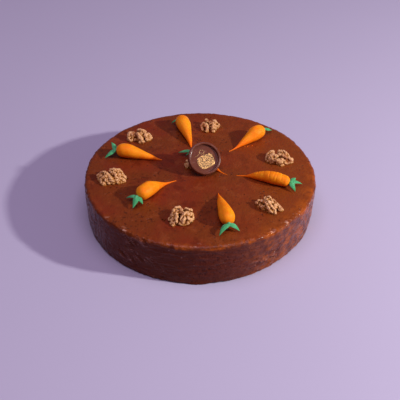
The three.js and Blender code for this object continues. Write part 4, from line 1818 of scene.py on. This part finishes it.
@dataclass
class Studio:
    """A plain pale floor, one hard light from the right, one soft light overhead, and the camera."""

    floor_colour: Colour = (0.52, 0.475, 0.655)
    floor_shade: float = 0.96  # its darker clouds, as a share of its colour
    floor_size: float = 12.0
    floor_gap: float = 0.1  # how far it lies under the cake, in millimetres
    world_colour: Colour = (0.74, 0.60, 0.85)
    world_strength: float = 0.15
    key_azimuth: float = -17.0
    key_elevation: float = 29.0
    key_distance: float = 1.5
    key_size: float = 0.07
    key_power: float = 20.5
    key_colour: Colour = (0.97, 0.95, 0.88)
    fill_place: Point = (0.0, -0.5, 2.55)
    fill_size: float = 2.0
    fill_power: float = 32.0
    fill_colour: Colour = (0.98, 0.80, 1.0)
    aim_height: float = 40.0  # the lights look at this height over the floor, in millimetres
    camera_place: Point = (0.0, -0.67736, 0.537)
    camera_pitch: float = 37.83
    lens: float = 72.0

    def floor(self) -> None:
        """Adds the floor, just below the cake's underside."""
        mesh = bpy.data.meshes.new("floor")
        shape = bmesh.new()
        bmesh.ops.create_grid(shape, x_segments=1, y_segments=1, size=self.floor_size)
        bmesh.ops.translate(shape, vec=(0, 0, -self.floor_gap * MM), verts=shape.verts)
        shape.to_mesh(mesh)
        shape.free()
        floor = bpy.data.objects.new("floor", mesh)
        bpy.context.scene.collection.objects.link(floor)
        coat = Coat("floor_paper")
        clouds = coat.node("ShaderNodeTexNoise", {"Vector": coat.spot, "Scale": 3.0, "Detail": 2.0})
        darker = tuple(self.floor_shade * part for part in self.floor_colour)
        colour = coat.mixed(clouds.outputs["Fac"], self.floor_colour, darker)
        look = {"Base Color": colour, "Roughness": 0.75, "Specular IOR Level": 0.2}
        mesh.materials.append(coat.dress(look))

    def light(self, name: str, place: Vector, size: float, power: float, colour: Colour) -> None:
        """Adds one square area light that looks at the cake.

        Args:
            name: The light's name.
            place: Where it stands, in metres.
            size: Its side in metres.
            power: Its power in watts.
            colour: Its colour.
        """
        lamp = bpy.data.lights.new(name, "AREA")
        lamp.shape = "SQUARE"
        lamp.size = size
        lamp.energy = power
        lamp.color = colour
        holder = bpy.data.objects.new(name, lamp)
        bpy.context.scene.collection.objects.link(holder)
        holder.location = place
        aim = Vector((0, 0, self.aim_height * MM))
        holder.rotation_euler = (place - aim).to_track_quat("Z", "Y").to_euler()

    def lights(self) -> None:
        """Adds the two lights and the dim surroundings."""
        azimuth, elevation = math.radians(self.key_azimuth), math.radians(self.key_elevation)
        level = math.cos(elevation)
        towards = Vector((math.cos(azimuth) * level, math.sin(azimuth) * level, math.sin(elevation)))
        key_place, fill_place = towards * self.key_distance, Vector(self.fill_place)
        self.light("key", key_place, self.key_size, self.key_power, self.key_colour)
        self.light("fill", fill_place, self.fill_size, self.fill_power, self.fill_colour)
        world = bpy.data.worlds.new("surroundings")
        world.use_nodes = True
        background = world.node_tree.nodes["Background"]
        background.inputs["Color"].default_value = (*self.world_colour, 1.0)
        background.inputs["Strength"].default_value = self.world_strength
        bpy.context.scene.world = world

    def camera(self) -> None:
        """Adds the camera, level from side to side and looking down on the cake."""
        lens = bpy.data.cameras.new("camera")
        lens.lens = self.lens
        lens.sensor_width = 36.0
        lens.clip_start = 0.01
        lens.clip_end = 100.0
        camera = bpy.data.objects.new("camera", lens)
        bpy.context.scene.collection.objects.link(camera)
        camera.location = self.camera_place
        camera.rotation_euler = (math.radians(90 - self.camera_pitch), 0, 0)
        bpy.context.scene.camera = camera

    def build(self) -> None:
        """Adds everything that isn't part of the cake."""
        self.floor()
        self.lights()
        self.camera()
        bpy.context.scene.view_settings.view_transform = "Standard"


# ---------------------------------------------------------------- putting it together


def main() -> None:
    """Builds the cake, its toppings and the studio in order."""
    logging.basicConfig(level=logging.INFO, format="%(message)s")
    effects = Effects()
    orange = SugarFinish(
        "orange_paste",
        body=(1.0, 0.315, 0.008),
        deep=(0.98, 0.245, 0.005),
        pale=(1.0, 0.42, 0.03),
        # painted shade: deeper, redder colour low down
        low=(0.98, 0.155, 0.003),
    )
    green = SugarFinish(
        "green_paste",
        body=(0.100, 0.46, 0.20),
        deep=(0.060, 0.34, 0.13),
        pale=(0.26, 0.64, 0.40),
        # painted shade: deeper colour low down
        low=(0.050, 0.30, 0.11),
        glow=(0.3, 1.0, 0.4),
    )
    paste, leaf_paste = orange.material(effects), green.material(effects)
    walnut = WalnutFinish().material(effects)
    GlazedCake(GlazeFinish().material(effects)).build()
    for carrot in CARROTS:
        carrot.build(paste, leaf_paste)
    for half in WALNUTS:
        half.build(walnut)
    ChocolateDisc(ChocolateFinish().material(effects), GoldFinish().material(effects)).build()
    LooseCrumbs(
        "walnut_crumbs",
        Slot.WALNUT,
        walnut,
        (
            ("walnut_5", -15.0, -3.0, 0.9, 4),
            ("walnut_6", 18.0, 0.5, 0.8, 3),
            ("walnut_2", 13.0, -1.0, 0.8, 3),
        ),
    ).build()
    LooseCrumbs(
        "sugar_crumbs",
        Slot.SUGAR_ORANGE,
        paste,
        (("carrot_3", 1.5, -6.5, 2.0, 7),),
        sizes=(0.35, 0.7),
        seed=11,
    ).build()
    Studio().build()


if __name__ == "__main__":
    main()
